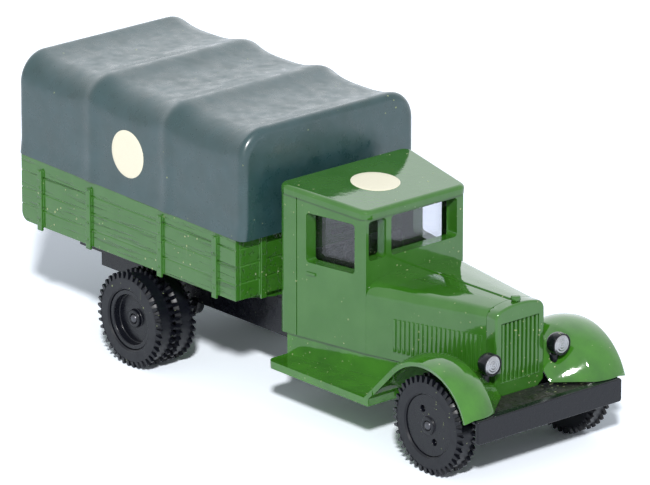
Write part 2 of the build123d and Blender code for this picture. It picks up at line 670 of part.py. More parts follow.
def cab_floor():
    """Floor on the rails, between the cab's walls."""
    plan = cab_plan(CAB_WALL, CAB_REAR_X + CAB_WALL, CAB_FRONT_X - CAB_WALL)
    return upward(plan, RAIL_TOP, CAB_FLOOR_TOP)


def cab_glazing():
    """Clear lining inside the cab walls, one open ring of four panes."""
    outer_inset = CAB_WALL + GLASS_GAP
    x_from, x_to = CAB_REAR_X + outer_inset, CAB_FRONT_X - outer_inset
    ring = cab_plan(outer_inset, x_from, x_to)
    ring -= cab_plan(outer_inset + GLASS_THICK, x_from + GLASS_THICK, x_to - GLASS_THICK)
    return under(upward(ring, CAB_BOTTOM + GLASS_SILL, COVER_TOP), roof_plane().offset(-GLASS_GAP))


def cab_seat():
    """Bench with a backrest, standing on the cab floor against the rear glazing."""
    x = CAB_REAR_X + SEAT_INSET
    front = x + SEAT_DEPTH
    floor = CAB_FLOOR_TOP
    seat = floor + SEAT_HEIGHT
    top = seat + BACKREST_HEIGHT
    profile = outline(
        (x, floor), (front, floor), (front, seat),
        (x + BACKREST_THICK, seat), (x + BACKREST_THICK, top), (x, top),
    )
    profile = fillet(profile.vertices().sort_by(Axis.Y)[2:], SEAT_ROUND)
    half = cab_half(front) - SEAT_INSET - SEAT_ROOM
    return across(profile, -half, half)


def steering_wheel():
    """Flat rim, one bar across it and the column down to the front wall."""
    drop = SEAT_HEIGHT + STEERING_RISE
    x = CAB_REAR_X + SEAT_INSET + BACKREST_THICK + STEERING_AHEAD
    back = CAB_FRONT_X - CAB_WALL - x
    lean = degrees(atan2(back, drop))
    inner = STEERING_RADIUS - STEERING_RIM
    half = STEERING_RIM / 2
    wheel = Circle(STEERING_RADIUS) - Circle(inner) + rectangle(-half, -inner, half, inner)
    wheel = extrude(wheel, STEERING_RIM)
    wheel += extrude(Circle(COLUMN_RADIUS), -2 * hypot(back, drop))
    placed = Pos(x, STEERING_Y, CAB_FLOOR_TOP + drop) * Rot(Y=-lean) * wheel
    room = rectangle(CAB_REAR_X, CAB_FLOOR_TOP, x + back, ROOF_REAR_Z)
    return placed & across(room, -CAB_REAR_HALF, CAB_REAR_HALF)


def bonnet_half(x):
    """Half width of the bonnet at a station."""
    share = (x - CAB_FRONT_X) / BONNET_LENGTH
    return CAB_FRONT_HALF + share * (RADIATOR_HALF - CAB_FRONT_HALF)


def bonnet_crease(x):
    """Height of the bonnet's side at a station."""
    share = (x - CAB_FRONT_X) / BONNET_LENGTH
    return BONNET_REAR_SIDE + share * (RADIATOR_SHOULDER - BONNET_REAR_SIDE)


def bonnet_shoulder(x):
    """Rounding between the bonnet's top and sides at a station."""
    share = (x - CAB_FRONT_X) / BONNET_LENGTH
    return BONNET_SHOULDER + share * (RADIATOR_CORNER - BONNET_SHOULDER)


def bonnet_section(x, rise, inset):
    """Straight sides under a crowned top, with round shoulders, at a station along the bonnet."""
    half = bonnet_half(x) - inset
    side = bonnet_crease(x) - inset
    bottom = CAB_BOTTOM - abs(inset)
    face = make_face([
        Polyline((-half, side), (-half, bottom), (half, bottom), (half, side)),
        ThreePointArc((half, side), (0, side + rise), (-half, side)),
    ])
    face = fillet(face.vertices().sort_by(Axis.Y)[2:], bonnet_shoulder(x) - inset)
    return Plane((x, 0, 0), x_dir=(0, 1, 0), z_dir=(1, 0, 0)) * face


def bonnet_body(inset):
    """The bonnet's tapering form, drawn in by a wall thickness."""
    rear = bonnet_section(CAB_FRONT_X, BONNET_RISE, inset)
    front = bonnet_section(RADIATOR_REAR_X, RADIATOR_RISE, inset)
    return loft([rear, front], ruled=True)


def louvres():
    """Raised upright slats along the left side of the bonnet."""
    lean = degrees(atan2(CAB_FRONT_HALF - RADIATOR_HALF, BONNET_LENGTH))
    bottom = CAB_BOTTOM + LOUVRE_RISE
    slats = []
    for i in range(int((BONNET_LENGTH - LOUVRE_START - LOUVRE_END) / LOUVRE_PITCH)):
        x = RADIATOR_REAR_X - LOUVRE_START - LOUVRE_WIDTH - i * LOUVRE_PITCH
        height = bonnet_crease(x) - bonnet_shoulder(x) - LOUVRE_DROP - bottom
        slat = Box(LOUVRE_WIDTH, 2 * LOUVRE_PROUD, height, align=(Align.CENTER, Align.CENTER, Align.MIN))
        slats.append(Pos(x, bonnet_half(x), bottom) * Rot(Z=-lean) * slat)
    return slats


def bonnet_hinge():
    """Thin bead along the crown of the bonnet."""
    rear, front = BONNET_REAR_SIDE + BONNET_RISE, RADIATOR_CROWN
    line = outline(
        (CAB_FRONT_X, rear - BONNET_WALL / 2), (RADIATOR_REAR_X, front - BONNET_WALL / 2),
        (RADIATOR_REAR_X, front + HINGE_PROUD), (CAB_FRONT_X, rear + HINGE_PROUD),
    )
    return across(line, -HINGE_WIDTH / 2, HINGE_WIDTH / 2)


def bonnet():
    """Thin hood, open below, with louvres on both sides."""
    left = louvres()
    hood = bonnet_body(0)
    hood += left
    hood += [mirror(slat, Plane.XZ) for slat in left]
    hood -= bonnet_body(BONNET_WALL)
    return hood + bonnet_hinge()


def radiator():
    """Radiator shell with a crowned top, cut lower corners and upright grille bars."""
    half, foot = RADIATOR_HALF, RADIATOR_HALF - RADIATOR_CUT
    bottom, top = RADIATOR_BOTTOM, RADIATOR_SHOULDER
    corner = bottom + RADIATOR_CHAMFER
    face = make_face([
        Polyline((-half, top), (-half, corner), (-foot, bottom)),
        Polyline((-foot, bottom), (foot, bottom), (half, corner), (half, top)),
        ThreePointArc((half, top), (0, RADIATOR_CROWN), (-half, top)),
    ])
    face = fillet(face.vertices().sort_by(Axis.Y)[4:], RADIATOR_CORNER)
    shell = along(face, RADIATOR_REAR_X, RADIATOR_FRONT_X)
    shell = fillet(shell.faces().sort_by(Axis.X)[-1].edges(), RADIATOR_ROUND)
    grille = half - GRILLE_MARGIN
    low, high = bottom + GRILLE_SILL, bottom + GRILLE_SILL + GRILLE_HEIGHT
    floor_x = RADIATOR_FRONT_X - GRILLE_DEPTH
    shell -= along(rectangle(-grille, low, grille, high), floor_x, RADIATOR_FRONT_X)
    pitch = 2 * grille / GRILLE_BARS
    for i in range(GRILLE_BARS):
        y = (i + 0.5) * pitch - grille
        bar = rectangle(y - GRILLE_BAR / 2, low, y + GRILLE_BAR / 2, high)
        shell += along(bar, floor_x, RADIATOR_FRONT_X - PRESS_GAP)
    return shell


def radiator_cap():
    """Filler cap standing on the radiator's crown."""
    x = RADIATOR_REAR_X + RADIATOR_DEPTH / 2
    return upward(Pos(x, 0) * Circle(CAP_RADIUS), RADIATOR_CROWN, RADIATOR_CROWN + CAP_HEIGHT)


def swept(face, start, end):
    """Turn a face drawn as (radius, Y) about the front axle, between two angles above the front."""
    body = revolve(face, Axis((0, 0, 0), (0, -1, 0)), end - start)
    return Pos(FRONT_AXLE_X, 0, TYRE_RADIUS) * Rot(Y=-start) * body


def fender_section():
    """Crowned band over the tyre that falls in a hollow curve to the inner panel, as (radius, Y)."""
    edge, crown = ARCH_RADIUS + FENDER_EDGE, ARCH_RADIUS + FENDER_CROWN
    inner, outer = FENDER_INNER_Y, FENDER_OUTER_Y
    low = VALANCE_RADIUS
    bend = ((edge + 2 * low) / 3, VALANCE_Y + 2 * VALANCE_SWEEP / 3)
    return make_face([
        Polyline((low, RADIATOR_HALF), (low - FENDER_THICK, RADIATOR_HALF), (low - FENDER_THICK, inner),
                 (ARCH_RADIUS, inner), (ARCH_RADIUS, outer), (edge, outer)),
        ThreePointArc((edge, outer), (crown, (outer + inner) / 2), (edge, inner)),
        ThreePointArc((edge, inner), bend, (low, VALANCE_Y)),
        Line((low, VALANCE_Y), (low, RADIATOR_HALF)),
    ])


def fender_arch():
    """Wing over the front wheel, straight behind it down to the running board, its front edge level."""
    section = fender_section()
    turn = radians(FENDER_END)
    slope = Pos(FRONT_AXLE_X, 0, TYRE_RADIUS) * Rot(Y=-FENDER_END) * section
    straight = extrude(slope, 2 * ARCH_RADIUS, dir=(-sin(turn), 0, cos(turn)))
    arch = split(swept(section, 0, 90), bisect_by=Plane((0, 0, BUMPER_TOP + TIP_ROOM)), keep=Keep.TOP)
    return arch + swept(section, 90, FENDER_END) + straight


def running_board():
    """Step beside the cab, with the upright panel that joins it to the cab's lower edge."""
    x_back = CAB_REAR_X + STEP_BACK
    x_front = FRONT_AXLE_X - board_reach()
    back, front = cab_half(x_back) - APRON_INSET, cab_half(x_front) - APRON_INSET
    plan = outline((x_back, back), (x_front, front), (x_front, FENDER_OUTER_Y), (x_back, FENDER_OUTER_Y))
    plan = fillet(plan.vertices().group_by(Axis.X)[0].sort_by(Axis.Y)[-1], STEP_CORNER)
    apron = outline(
        (x_back, back), (x_front, front), (x_front, front - APRON_THICK), (x_back, back - APRON_THICK),
    )
    return upward(plan, STEP_BOTTOM, STEP_TOP) + upward(apron, STEP_BOTTOM, CAB_BOTTOM)


def board_reach():
    """Front axle back to where the fender's straight part meets the running board."""
    turn = radians(FENDER_END)
    drop = TYRE_RADIUS + ARCH_RADIUS * sin(turn) - STEP_TOP
    return -ARCH_RADIUS * cos(turn) + drop * sin(turn) / -cos(turn)


def fender():
    """Left wing and running board in one moulding, clear of the rails and the bonnet's louvres."""
    wing = fender_arch() + running_board()
    wing = split(wing, bisect_by=Plane((0, 0, STEP_BOTTOM)), keep=Keep.TOP)
    rail = rectangle(CAB_FRONT_X, STEP_BOTTOM, FRONT_AXLE_X, RAIL_NOSE_TOP + RAIL_ROOM)
    wing -= across(rail, 0, RAIL_OUTER_Y + RAIL_ROOM)
    return wing - bonnet_body(-LOUVRE_PROUD)


def headlamp():
    """Left lamp body on its stalk, which stands on the fender's inner panel."""
    face_x = FRONT_AXLE_X + LAMP_AHEAD
    lens_x = face_x - LENS_DEPTH
    rim_x = face_x - LAMP_BARREL
    back_x = rim_x - LAMP_RADIUS
    socket = LENS_RADIUS + PRESS_GAP
    bowl = make_face([
        Polyline((back_x, 0), (lens_x, 0), (lens_x, socket), (face_x, socket), (face_x, LAMP_RADIUS),
                 (rim_x, LAMP_RADIUS)),
        CenterArc((rim_x, 0), LAMP_RADIUS, 90, 90),
    ])
    body = Pos(0, LAMP_Y, LAMP_Z) * revolve(bowl, Axis.X)
    stalk_x = (rim_x + back_x) / 2
    foot_z = TYRE_RADIUS + sqrt(VALANCE_RADIUS ** 2 - (stalk_x - FRONT_AXLE_X) ** 2)
    stalk_at = Pos(stalk_x, LAMP_Y)
    stalk = upward(stalk_at * Circle(STALK_RADIUS), foot_z, LAMP_Z - LAMP_RADIUS / 2)
    stalk += upward(stalk_at * Circle(STALK_FOOT), foot_z - STALK_FOOT, foot_z + STALK_FOOT_HEIGHT)
    return body + stalk - swept(rectangle(0, 0, VALANCE_RADIUS, FENDER_INNER_Y), 0, 90)


def headlamp_lens():
    """Slightly domed silver lens, set in the lamp's rim."""
    face_x = FRONT_AXLE_X + LAMP_AHEAD
    disc = along(Pos(LAMP_Y, LAMP_Z) * Circle(LENS_RADIUS), face_x - LENS_DEPTH, face_x + LENS_DOME)
    ball = (LENS_RADIUS ** 2 + LENS_DOME ** 2) / (2 * LENS_DOME)
    return disc & Pos(face_x + LENS_DOME - ball, LAMP_Y, LAMP_Z) * Sphere(ball)


def main():
    os.makedirs("parts", exist_ok=True)
    wheels()
    save("chassis_frame", chassis_frame())
    save("bed_sills", bed_sills())
    save("front_bumper", front_bumper())
    save("front_apron", front_apron())
    save("bed_floor", bed_floor())
    save("bed_headboard", bed_end(BED_FRONT_X, 1))
    save("bed_tailgate", bed_end(BED_REAR_X, -1))
    save("cover", cover())
    save("cab_back", cab_back())
    save("cab_front", cab_front())
    save("cab_roof", cab_roof())
    save("cab_floor", cab_floor())
    save("cab_glazing", cab_glazing())
    save("cab_seat", cab_seat())
    save("steering_wheel", steering_wheel())
    save("bonnet", bonnet())
    save("radiator", radiator())
    save("radiator_cap", radiator_cap())
    handed = {
        "bed_side": bed_side(),
        "cab_side": cab_side(),
        "fender": fender(),
        "headlamp": headlamp(),
        "headlamp_lens": headlamp_lens(),
    }
    for piece, shape in handed.items():
        for name, side in SIDES.items():
            save(f"{piece}_{name}", to_side(shape, side))


main()
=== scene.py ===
"""Looks of a small moulded-plastic scale model of a covered cargo truck."""

from math import asin, cos, exp, pi, radians, sin, sqrt

import bmesh
import bpy
from bpy.props import FloatProperty, FloatVectorProperty, IntProperty, PointerProperty
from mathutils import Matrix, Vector
from mathutils.bvhtree import BVHTree


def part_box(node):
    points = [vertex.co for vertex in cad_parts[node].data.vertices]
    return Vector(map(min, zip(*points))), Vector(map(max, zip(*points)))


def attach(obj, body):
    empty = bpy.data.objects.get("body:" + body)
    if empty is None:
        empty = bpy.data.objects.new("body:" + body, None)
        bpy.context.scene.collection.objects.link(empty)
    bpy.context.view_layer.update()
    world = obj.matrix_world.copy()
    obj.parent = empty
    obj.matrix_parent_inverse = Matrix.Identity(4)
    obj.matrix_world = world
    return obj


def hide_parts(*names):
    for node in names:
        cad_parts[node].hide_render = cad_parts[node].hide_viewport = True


bl_info = {
    "name": "Covered Truck Model",
    "version": (1, 0, 0),
    "blender": (4, 5, 0),
    "location": "View3D > Sidebar > Truck Model",
    "description": "Dresses the pieces of a moulded-plastic model truck",
    "category": "Object",
}

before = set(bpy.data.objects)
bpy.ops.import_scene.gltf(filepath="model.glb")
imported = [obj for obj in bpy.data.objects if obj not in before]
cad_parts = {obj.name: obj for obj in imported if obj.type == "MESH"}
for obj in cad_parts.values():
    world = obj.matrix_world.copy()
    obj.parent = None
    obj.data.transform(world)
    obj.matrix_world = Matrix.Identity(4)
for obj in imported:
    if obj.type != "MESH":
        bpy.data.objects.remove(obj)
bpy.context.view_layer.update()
MM = 0.001
RIGHT, LEFT = -1, 1
SIDES = {"left": LEFT, "right": RIGHT}
MERGE = 0.0005 * MM  # points closer than this are one point
FLAT = radians(0.8)  # faces that turn less than this are one face
AT_END = 0.01 * MM  # points closer than this to an end lie on it
AT_CUT = 0.0001 * MM  # points closer than this to a cut lie on it

# Stakes along a bed side, in bed lengths from its front; bolts up a stake, in spacings of the bolts
STAKE_SHARES = (0.09, 0.342, 0.674, 0.905)
BOLTS, FIRST_BOLT, SIDE_HEIGHT = 4, 0.6, 4.2
BOLT_SHAPE = (1.0, 0.6, 1.0)  # a bolt's head is a ball made flatter across the truck

# Middles of the stickers: along and up the cover's side from its rear foot, and along the roof from its rear
COVER_STICKER = (0.497, 0.42)
ROOF_STICKER = 0.50
# Rings of a sticker from its middle out: share of its radius, and lift in its thicknesses
STICKER_RINGS = ((0.2, 1), (0.5, 1), (0.8, 1), (0.97, 1), (1.0, 0.6), (1.0, -1))

# Moulded plastic
WOBBLES = 12  # swells in a fleck's outline, to a cell of the pattern
WOBBLE_REACH = 0.8  # how far a fleck's outline wanders, in cells
FINE_FLECKS = 5  # fine flecks to each large one
RUBBED = 12  # strength of the rubbed streaks, in shares of flecks
MARK_HEIGHT = 1.2  # how far flecks and streaks stand out, in depths of the flow marks
MARK_ROUGH = 0.6  # roughness of flecks and streaks
GRAIN_DARK = 0.72  # colour in the lines of the wood grain, in shares of the main colour


def length(name, millimetres, description):
    """A length that a user can change, given in millimetres."""
    return FloatProperty(
        name=name, description=description, default=millimetres * MM, unit="LENGTH", precision=5)


def number(name, value, description):
    """A plain number that a user can change."""
    return FloatProperty(name=name, description=description, default=value)


def angle(name, degrees, description):
    """An angle that a user can change, given in degrees."""
    return FloatProperty(name=name, description=description, default=radians(degrees), subtype="ANGLE")


def colour(name, red, green, blue, description):
    """A colour that a user can change, in linear light."""
    return FloatVectorProperty(
        name=name, description=description, default=(red, green, blue), subtype="COLOR", min=0, max=1)


class TruckColours(bpy.types.PropertyGroup):
    """Colours of the plastics and of the stage."""
    green: colour("Green", 0.0315, 0.146, 0.0102, "Cab, bonnet and load bed")
    green_pale: colour("Pale green", 0.044, 0.167, 0.0195, "Thin or worn parts of the green plastic")
    # Wing green is the green painted brighter: painted light standing in for light that shines through the
    # thin wings
    green_wing_painted_light: colour("Wing green", 0.050, 0.212, 0.0125, "Thin wings, which let some light through")
    cover: colour("Cover", 0.0152, 0.0483, 0.0503, "Hard cover over the load bed")
    cover_pale: colour("Pale cover", 0.0228, 0.0634, 0.0703, "Rubbed parts of the cover")
    black: colour("Black", 0.0041, 0.0048, 0.0083, "Chassis, wheels and lamps")
    apron: colour("Apron", 0.011, 0.0083, 0.0055, "Rough plate over the bumper")
    dust: colour("Dust", 0.42, 0.50, 0.24, "Flecks of dust and moulding flash")
    paper: colour("Paper", 0.97, 0.93, 0.74, "Round stickers")
    steel: colour("Steel", 0.10, 0.10, 0.11, "Axles")
    lens: colour("Lens", 0.52, 0.52, 0.54, "Silvered lamp lenses")
    glass: colour("Glazing", 0.84, 0.85, 0.90, "Clear lining of the cab")
    floor: colour("Floor", 0.90, 0.90, 0.93, "Floor under the model, as light falls back from it")
    sky: colour("Sky", 0.93, 0.96, 1.0, "Light from all round")
    floor_seen: colour("Floor seen", 0.88, 0.93, 1.0, "Floor under the model, as the eye sees it")


class TruckSizes(bpy.types.PropertyGroup):
    """Sizes of what is finer than the solids."""
    edge: length("Edge", 0.12, "Rounding of moulded edges")
    cover_edge: length("Cover edge", 0.9, "Rounding between the cover's skin and its ends")
    cover_corner: length("Cover corner", 3.2, "Rounding between the cover's top and sides")
    cover_sag: length("Cover sag", 0.7, "How far the cover hangs between its bows")
    cover_wall: length("Cover wall", 0.9, "Thickness of the cover")
    cover_flare: length("Cover flare", 0.2, "How far the cover's foot stands out")
    cover_flare_height: length("Cover flare height", 1.6, "Height of the cover's flared foot")
    cover_bays: IntProperty(name="Cover bays", description="Bays between the cover's bows", default=3, min=1)
    cover_crest: number("Cover crest", 0.14, "Rounding of the cover's crests, in half bays")
    bow_proud: length("Bow proud", 0.14, "How far the cover's bows stand out at its sides")
    bow_width: length("Bow width", 0.9, "Width of the cover's bows at its sides")
    lug_count: IntProperty(name="Lugs", description="Lugs in each row of a tyre", default=39, min=8)
    lug_height: length("Lug height", 0.66, "Lug from its root to the tyre's rolling face")
    lug_thick: length("Lug thickness", 0.46, "Lug round the tyre, at its root")
    lug_row: length("Lug row", 0.62, "Width of each row of lugs")
    lug_taper: number("Lug taper", 0.5, "Top of a lug in shares of its root")
    lug_proud: number("Lug proud", 0.55, "How far lugs stand over the tyre's middle, in lug heights")
    flank_room: length("Flank room", 0.05, "How far the tyre's flank lies inside its lugs")
    tread_edge: length("Tread edge", 0.1, "Rounding of the tyre's smooth middle")
    tyre_chamfer: length("Tyre shoulder", 0.42, "Slope between the tyre's flank and its lugs")
    rim_groove: length("Rim groove", 0.16, "Groove between the tyre and the wheel")
    bolt_radius: length("Bolt radius", 0.15, "Bolt heads on the bed's stakes")
    lens_ring: length("Lens ring depth", 0.05, "Depth of the rings on the lamp lenses")
    lens_rings: number("Lens rings", 3.5, "Rings from a lens's middle to its rim")
    lens_dome: number("Lens dome", 0.3, "Dome of a lens in lens thicknesses")
    wing_crown: length("Wing crown", 7.1, "Highest part of a wing over the front axle's middle")
    wing_lip: length("Wing lip", 6.7, "Outer lip of a wing from the front axle's middle")
    wing_root: length("Wing root", 4.1, "Where a wing meets the nose, from the front axle's middle")
    wing_band: length("Wing band", 4.07, "Width of a wing's crowned band")
    wing_end: angle("Wing end", 135.0, "Turn round the axle at which a wing becomes straight")
    wing_wall: length("Wing wall", 0.5, "Thickness of a wing")
    wing_dip: length("Wing dip", 0.3, "How far a wing's outer lip falls beside the bumper")
    wing_hollow: number("Wing hollow", 0.15, "How hollow a wing's slope to the nose is")
    wing_foot: length("Wing foot", 0.4, "Lower end of a wing over the running board's underside")
    wing_rest: length("Wing rest", 0.06, "Front edge of a wing over the bumper")
    bumper_room: length("Bumper room", 0.1, "Bumper's end to where a wing starts to fall beside it")
    bonnet_room: length("Bonnet room", 0.1, "Wing to the bonnet's side")
    board_start: length("Board start", 5.8, "Cab's front to where a wing goes over into its running board")
    panel_length: length("Panel length", 4.6, "Upright panel behind a front wheel, ahead of its board")
    panel_back: length("Panel back", 1.4, "How far the panel laps past the running board's front")
    panel_lap: length("Panel lap", 0.15, "How far the panel laps over the bonnet's lower edge")
    panel_slope: length("Panel slope", 2.4, "Height and length of the panel's sloping lower corner")
    panel_wall: length("Panel wall", 0.3, "Thickness of the panel")
    nose_half: length("Nose half width", 3.3, "Half width of the radiator")
    sticker_radius: length("Sticker radius", 2.55, "Radius of the round stickers")
    sticker_thick: length("Sticker thickness", 0.05, "Thickness of the round stickers")
    roof_sticker_side: length("Roof sticker side", -0.5, "The roof's sticker from the truck's middle")


class TruckView(bpy.types.PropertyGroup):
    """Camera and lights."""
    azimuth: angle("Azimuth", 48.9, "Camera about the model")
    elevation: angle("Elevation", 18.98, "Camera over the floor")
    distance: length("Distance", 713.3, "Camera to the model")
    focal: number("Focal length", 383.64, "Camera lens in millimetres")
    aim_x: length("Aim X", 0.755, "Point the camera looks at")
    aim_z: length("Aim Z", 15.15, "Point the camera looks at")
    key_strength: number("Key strength", 2.9, "Light from over the camera")
    key_width: angle("Key width", 5.0, "Width of the light over the camera, as the model sees it")
    key_azimuth: angle("Key azimuth", 48.0, "Light about the model")
    key_elevation: angle("Key elevation", 37.0, "Light over the floor")
    ambient: number("Ambient", 0.406, "Light from all round")
    floor_gain: number("Floor gain", 1.52, "Brightness of the floor to the eye")
    backdrop: number("Backdrop", 1.85, "Brightness far behind the model, to the eye and in reflections")


def colours():
    return bpy.context.scene.truck_colours


def sizes():
    return bpy.context.scene.truck_sizes


def rgba(value):
    return (value[0], value[1], value[2], 1.0)


# Materials

def add_node(tree, kind, inputs=None, **settings):
    """Add a node; inputs maps a socket to a value or to another node's output."""
    item = tree.nodes.new(kind)
    for key, value in settings.items():
        setattr(item, key, value)
    for key, value in (inputs or {}).items():
        if isinstance(value, bpy.types.NodeSocket):
            tree.links.new(value, item.inputs[key])
        else:
            item.inputs[key].default_value = value
    return item


def maths(tree, operation, a, b):
    return add_node(tree, "ShaderNodeMath", {0: a, 1: b}, operation=operation).outputs[0]


def mix_colour(tree, share, a, b):
    """Colour a where share is 0 and b where it is 1."""
    item = add_node(tree, "ShaderNodeMix", {0: share, 6: a, 7: b}, data_type="RGBA")
    return item.outputs[2]


def noise_value(tree, place, per_mm, detail=4.0, roughness=0.55):
    """A noise with so many swells in a millimetre."""
    inputs = {"Vector": place, "Scale": per_mm / MM, "Detail": detail, "Roughness": roughness}
    return add_node(tree, "ShaderNodeTexNoise", inputs).outputs["Fac"]


def spread(tree, value, low, high, to_low=0.0, to_high=1.0):
    """Stretch a value's range from low..high to to_low..to_high."""
    inputs = {0: value, 1: low, 2: high, 3: to_low, 4: to_high}
    return add_node(tree, "ShaderNodeMapRange", inputs).outputs[0]


def flecks(tree, place, per_mm, share, reach):
    """Small irregular flecks in a share of the cells of a scattered pattern, up to reach cells wide."""
    wobble = add_node(tree, "ShaderNodeTexNoise", {"Vector": place, "Scale": WOBBLES * per_mm / MM})
    inputs = {0: wobble.outputs["Color"], "Scale": WOBBLE_REACH * MM / per_mm}
    shift = add_node(tree, "ShaderNodeVectorMath", inputs, operation="SCALE")
    moved = add_node(tree, "ShaderNodeVectorMath", {0: place, 1: shift.outputs[0]}, operation="ADD")
    cells = add_node(tree, "ShaderNodeTexVoronoi", {"Vector": moved.outputs[0], "Scale": per_mm / MM})
    chance = add_node(tree, "ShaderNodeSeparateColor", {0: cells.outputs["Color"]})
    chosen = maths(tree, "GREATER_THAN", chance.outputs[0], 1 - share)
    size = maths(tree, "MULTIPLY", chance.outputs[1], reach)
    inside = maths(tree, "LESS_THAN", cells.outputs["Distance"], size)
    return maths(tree, "MULTIPLY", inside, chosen)


def start_material(name):
    """A new node material with its shader and the piece's own coordinates."""
    item = bpy.data.materials.new(name)
    item.use_nodes = True
    tree = item.node_tree
    shader = tree.nodes["Principled BSDF"]
    place = add_node(tree, "ShaderNodeTexCoord").outputs["Object"]
    return item, tree, shader, place


def bump(tree, height, depth):
    """A bump of the given depth in metres."""
    inputs = {"Height": height, "Distance": depth, "Strength": 1.0}
    return add_node(tree, "ShaderNodeBump", inputs).outputs[0]


def streaks(tree, place, turn, squeeze, per_mm, low, high):
    """Fine streaks: a noise drawn out along a direction in the plane of the truck's sides."""
    inputs = {"Vector": place, "Rotation": (0, turn, 0), "Scale": squeeze}
    mapping = add_node(tree, "ShaderNodeMapping", inputs)
    return spread(tree, noise_value(tree, mapping.outputs[0], per_mm, detail=3.0), low, high)


def moulded_plastic(name, main, pale, rough, flecked, flow_depth, grain_depth=0.0, bend=1.65):
    """Glossy moulded plastic with cloudy colour, fine flow marks, scratches and flecks of dust.

    flecked is the share of cells with a fleck, depths are in metres, bend is the index of refraction.
    """
    found = bpy.data.materials.get(name)
    if found:
        return found
    item, tree, shader, place = start_material(name)
    cloud = spread(tree, noise_value(tree, place, per_mm=0.35), low=0.35, high=0.7)
    body = mix_colour(tree, cloud, rgba(main), rgba(pale))
    patches = spread(tree, noise_value(tree, place, per_mm=0.16, detail=2.0), low=0.46, high=0.60)
    dust = flecks(tree, place, per_mm=1.4, share=flecked, reach=0.20)
    fine = flecks(tree, place, per_mm=3.6, share=FINE_FLECKS * flecked, reach=0.4)
    fine = maths(tree, "MULTIPLY", fine, patches)
    rubs = streaks(tree, place, turn=radians(14), squeeze=(0.9, 0.9, 0.14), per_mm=2.4, low=0.70, high=0.78)
    rubs = maths(tree, "MULTIPLY", maths(tree, "MULTIPLY", rubs, patches), min(1.0, RUBBED * flecked))
    marks = maths(tree, "MAXIMUM", maths(tree, "MAXIMUM", dust, fine), rubs)
    flow = noise_value(tree, place, per_mm=1.2, detail=2.0)
    flow = maths(tree, "ADD", flow, maths(tree, "MULTIPLY", marks, MARK_HEIGHT))
    if grain_depth:  # wood grain pressed into the boards, darker in its lines
        grain = streaks(tree, place, turn=radians(-7), squeeze=(0.06, 1.0, 1.0), per_mm=2.6,
                        low=0.34, high=0.44)
        body = mix_colour(tree, grain, rgba([GRAIN_DARK * v for v in main]), body)
        flow = maths(tree, "ADD", flow, maths(tree, "MULTIPLY", grain, grain_depth / flow_depth))
    tree.links.new(mix_colour(tree, marks, body, rgba(colours().dust)), shader.inputs["Base Color"])
    smear = noise_value(tree, place, per_mm=0.8)
    smear = spread(tree, smear, low=0.3, high=0.7, to_low=rough * 0.7, to_high=rough * 1.4)
    dull = maths(tree, "MAXIMUM", smear, maths(tree, "MULTIPLY", marks, MARK_ROUGH))
    tree.links.new(dull, shader.inputs["Roughness"])
    tree.links.new(bump(tree, flow, flow_depth), shader.inputs["Normal"])
    shader.inputs["IOR"].default_value = bend
    return item


def green_plastic():
    c = colours()
    return moulded_plastic("moulded_green", c.green, c.green_pale, rough=0.06, flecked=0.016,
                           flow_depth=0.008 * MM)


def wing_plastic():
    c = colours()
    # The wings use a lit copy of the green, with painted light for the light that shines through them
    return moulded_plastic("moulded_wings_painted_light", c.green_wing_painted_light, c.green, rough=0.06, flecked=0.012,
                           flow_depth=0.008 * MM)


def board_plastic():
    c = colours()
    return moulded_plastic("moulded_boards", c.green, c.green_pale, rough=0.16, flecked=0.018,
                           flow_depth=0.01 * MM, grain_depth=0.03 * MM)


def cover_plastic():
    c = colours()
    return moulded_plastic("moulded_cover", c.cover, c.cover_pale, rough=0.30, flecked=0.0015,
                           flow_depth=0.015 * MM, bend=1.7)


def black_plastic():
    c = colours()
    return moulded_plastic("moulded_black", c.black, c.black, rough=0.25, flecked=0.012,
                           flow_depth=0.015 * MM, bend=1.4)


def tyre_plastic():
    c = colours()
    return moulded_plastic("moulded_tyres", c.black, c.black, rough=0.36, flecked=0.006,
                           flow_depth=0.02 * MM, bend=1.4)


def apron_plastic():
    c = colours()
    return moulded_plastic("moulded_apron", c.apron, c.black, rough=0.45, flecked=0.06, flow_depth=0.25 * MM)


def lens_silver():
    """Silvered plastic of the lamp lenses, a little mottled."""
    item, tree, shader, place = start_material("silvered_lens")
    mottle = noise_value(tree, place, per_mm=3.0)
    grey = tuple(0.6 * v for v in colours().lens)
    tree.links.new(mix_colour(tree, mottle, rgba(grey), rgba(colours().lens)), shader.inputs["Base Color"])
    dull = spread(tree, mottle, low=0.3, high=0.7, to_low=0.22, to_high=0.4)
    tree.links.new(dull, shader.inputs["Roughness"])
    shader.inputs["Metallic"].default_value = 1.0
    return item


def axle_steel():
    """Bright steel of the axles."""
    item, tree, shader, place = start_material("bright_axle")
    mottle = noise_value(tree, place, per_mm=4.0)
    dull = spread(tree, mottle, low=0.3, high=0.7, to_low=0.25, to_high=0.45)
    tree.links.new(dull, shader.inputs["Roughness"])
    shader.inputs["Base Color"].default_value = rgba(colours().steel)
    shader.inputs["Metallic"].default_value = 1.0
    return item


def clear_plastic():
    """Clear plastic of the cab's glazing, a little smeared."""
    item, tree, shader, place = start_material("clear_lining")
    smear = noise_value(tree, place, per_mm=0.9)
    dull = spread(tree, smear, low=0.3, high=0.7, to_low=0.01, to_high=0.05)
    tree.links.new(dull, shader.inputs["Roughness"])
    shader.inputs["Base Color"].default_value = rgba(colours().glass)
    shader.inputs["Transmission Weight"].default_value = 1.0
    shader.inputs["IOR"].default_value = 1.49
    return item


def sticker_paper():
    """Cream paper of the round stickers."""
    item, tree, shader, place = start_material("cream_paper")
    fibre = noise_value(tree, place, per_mm=6.0)
    worn = tuple(0.9 * v for v in colours().paper)
    tree.links.new(mix_colour(tree, fibre, rgba(worn), rgba(colours().paper)), shader.inputs["Base Color"])
    tree.links.new(bump(tree, fibre, 0.01 * MM), shader.inputs["Normal"])
    shader.inputs["Roughness"].default_value = 0.5
    return item


# Meshes

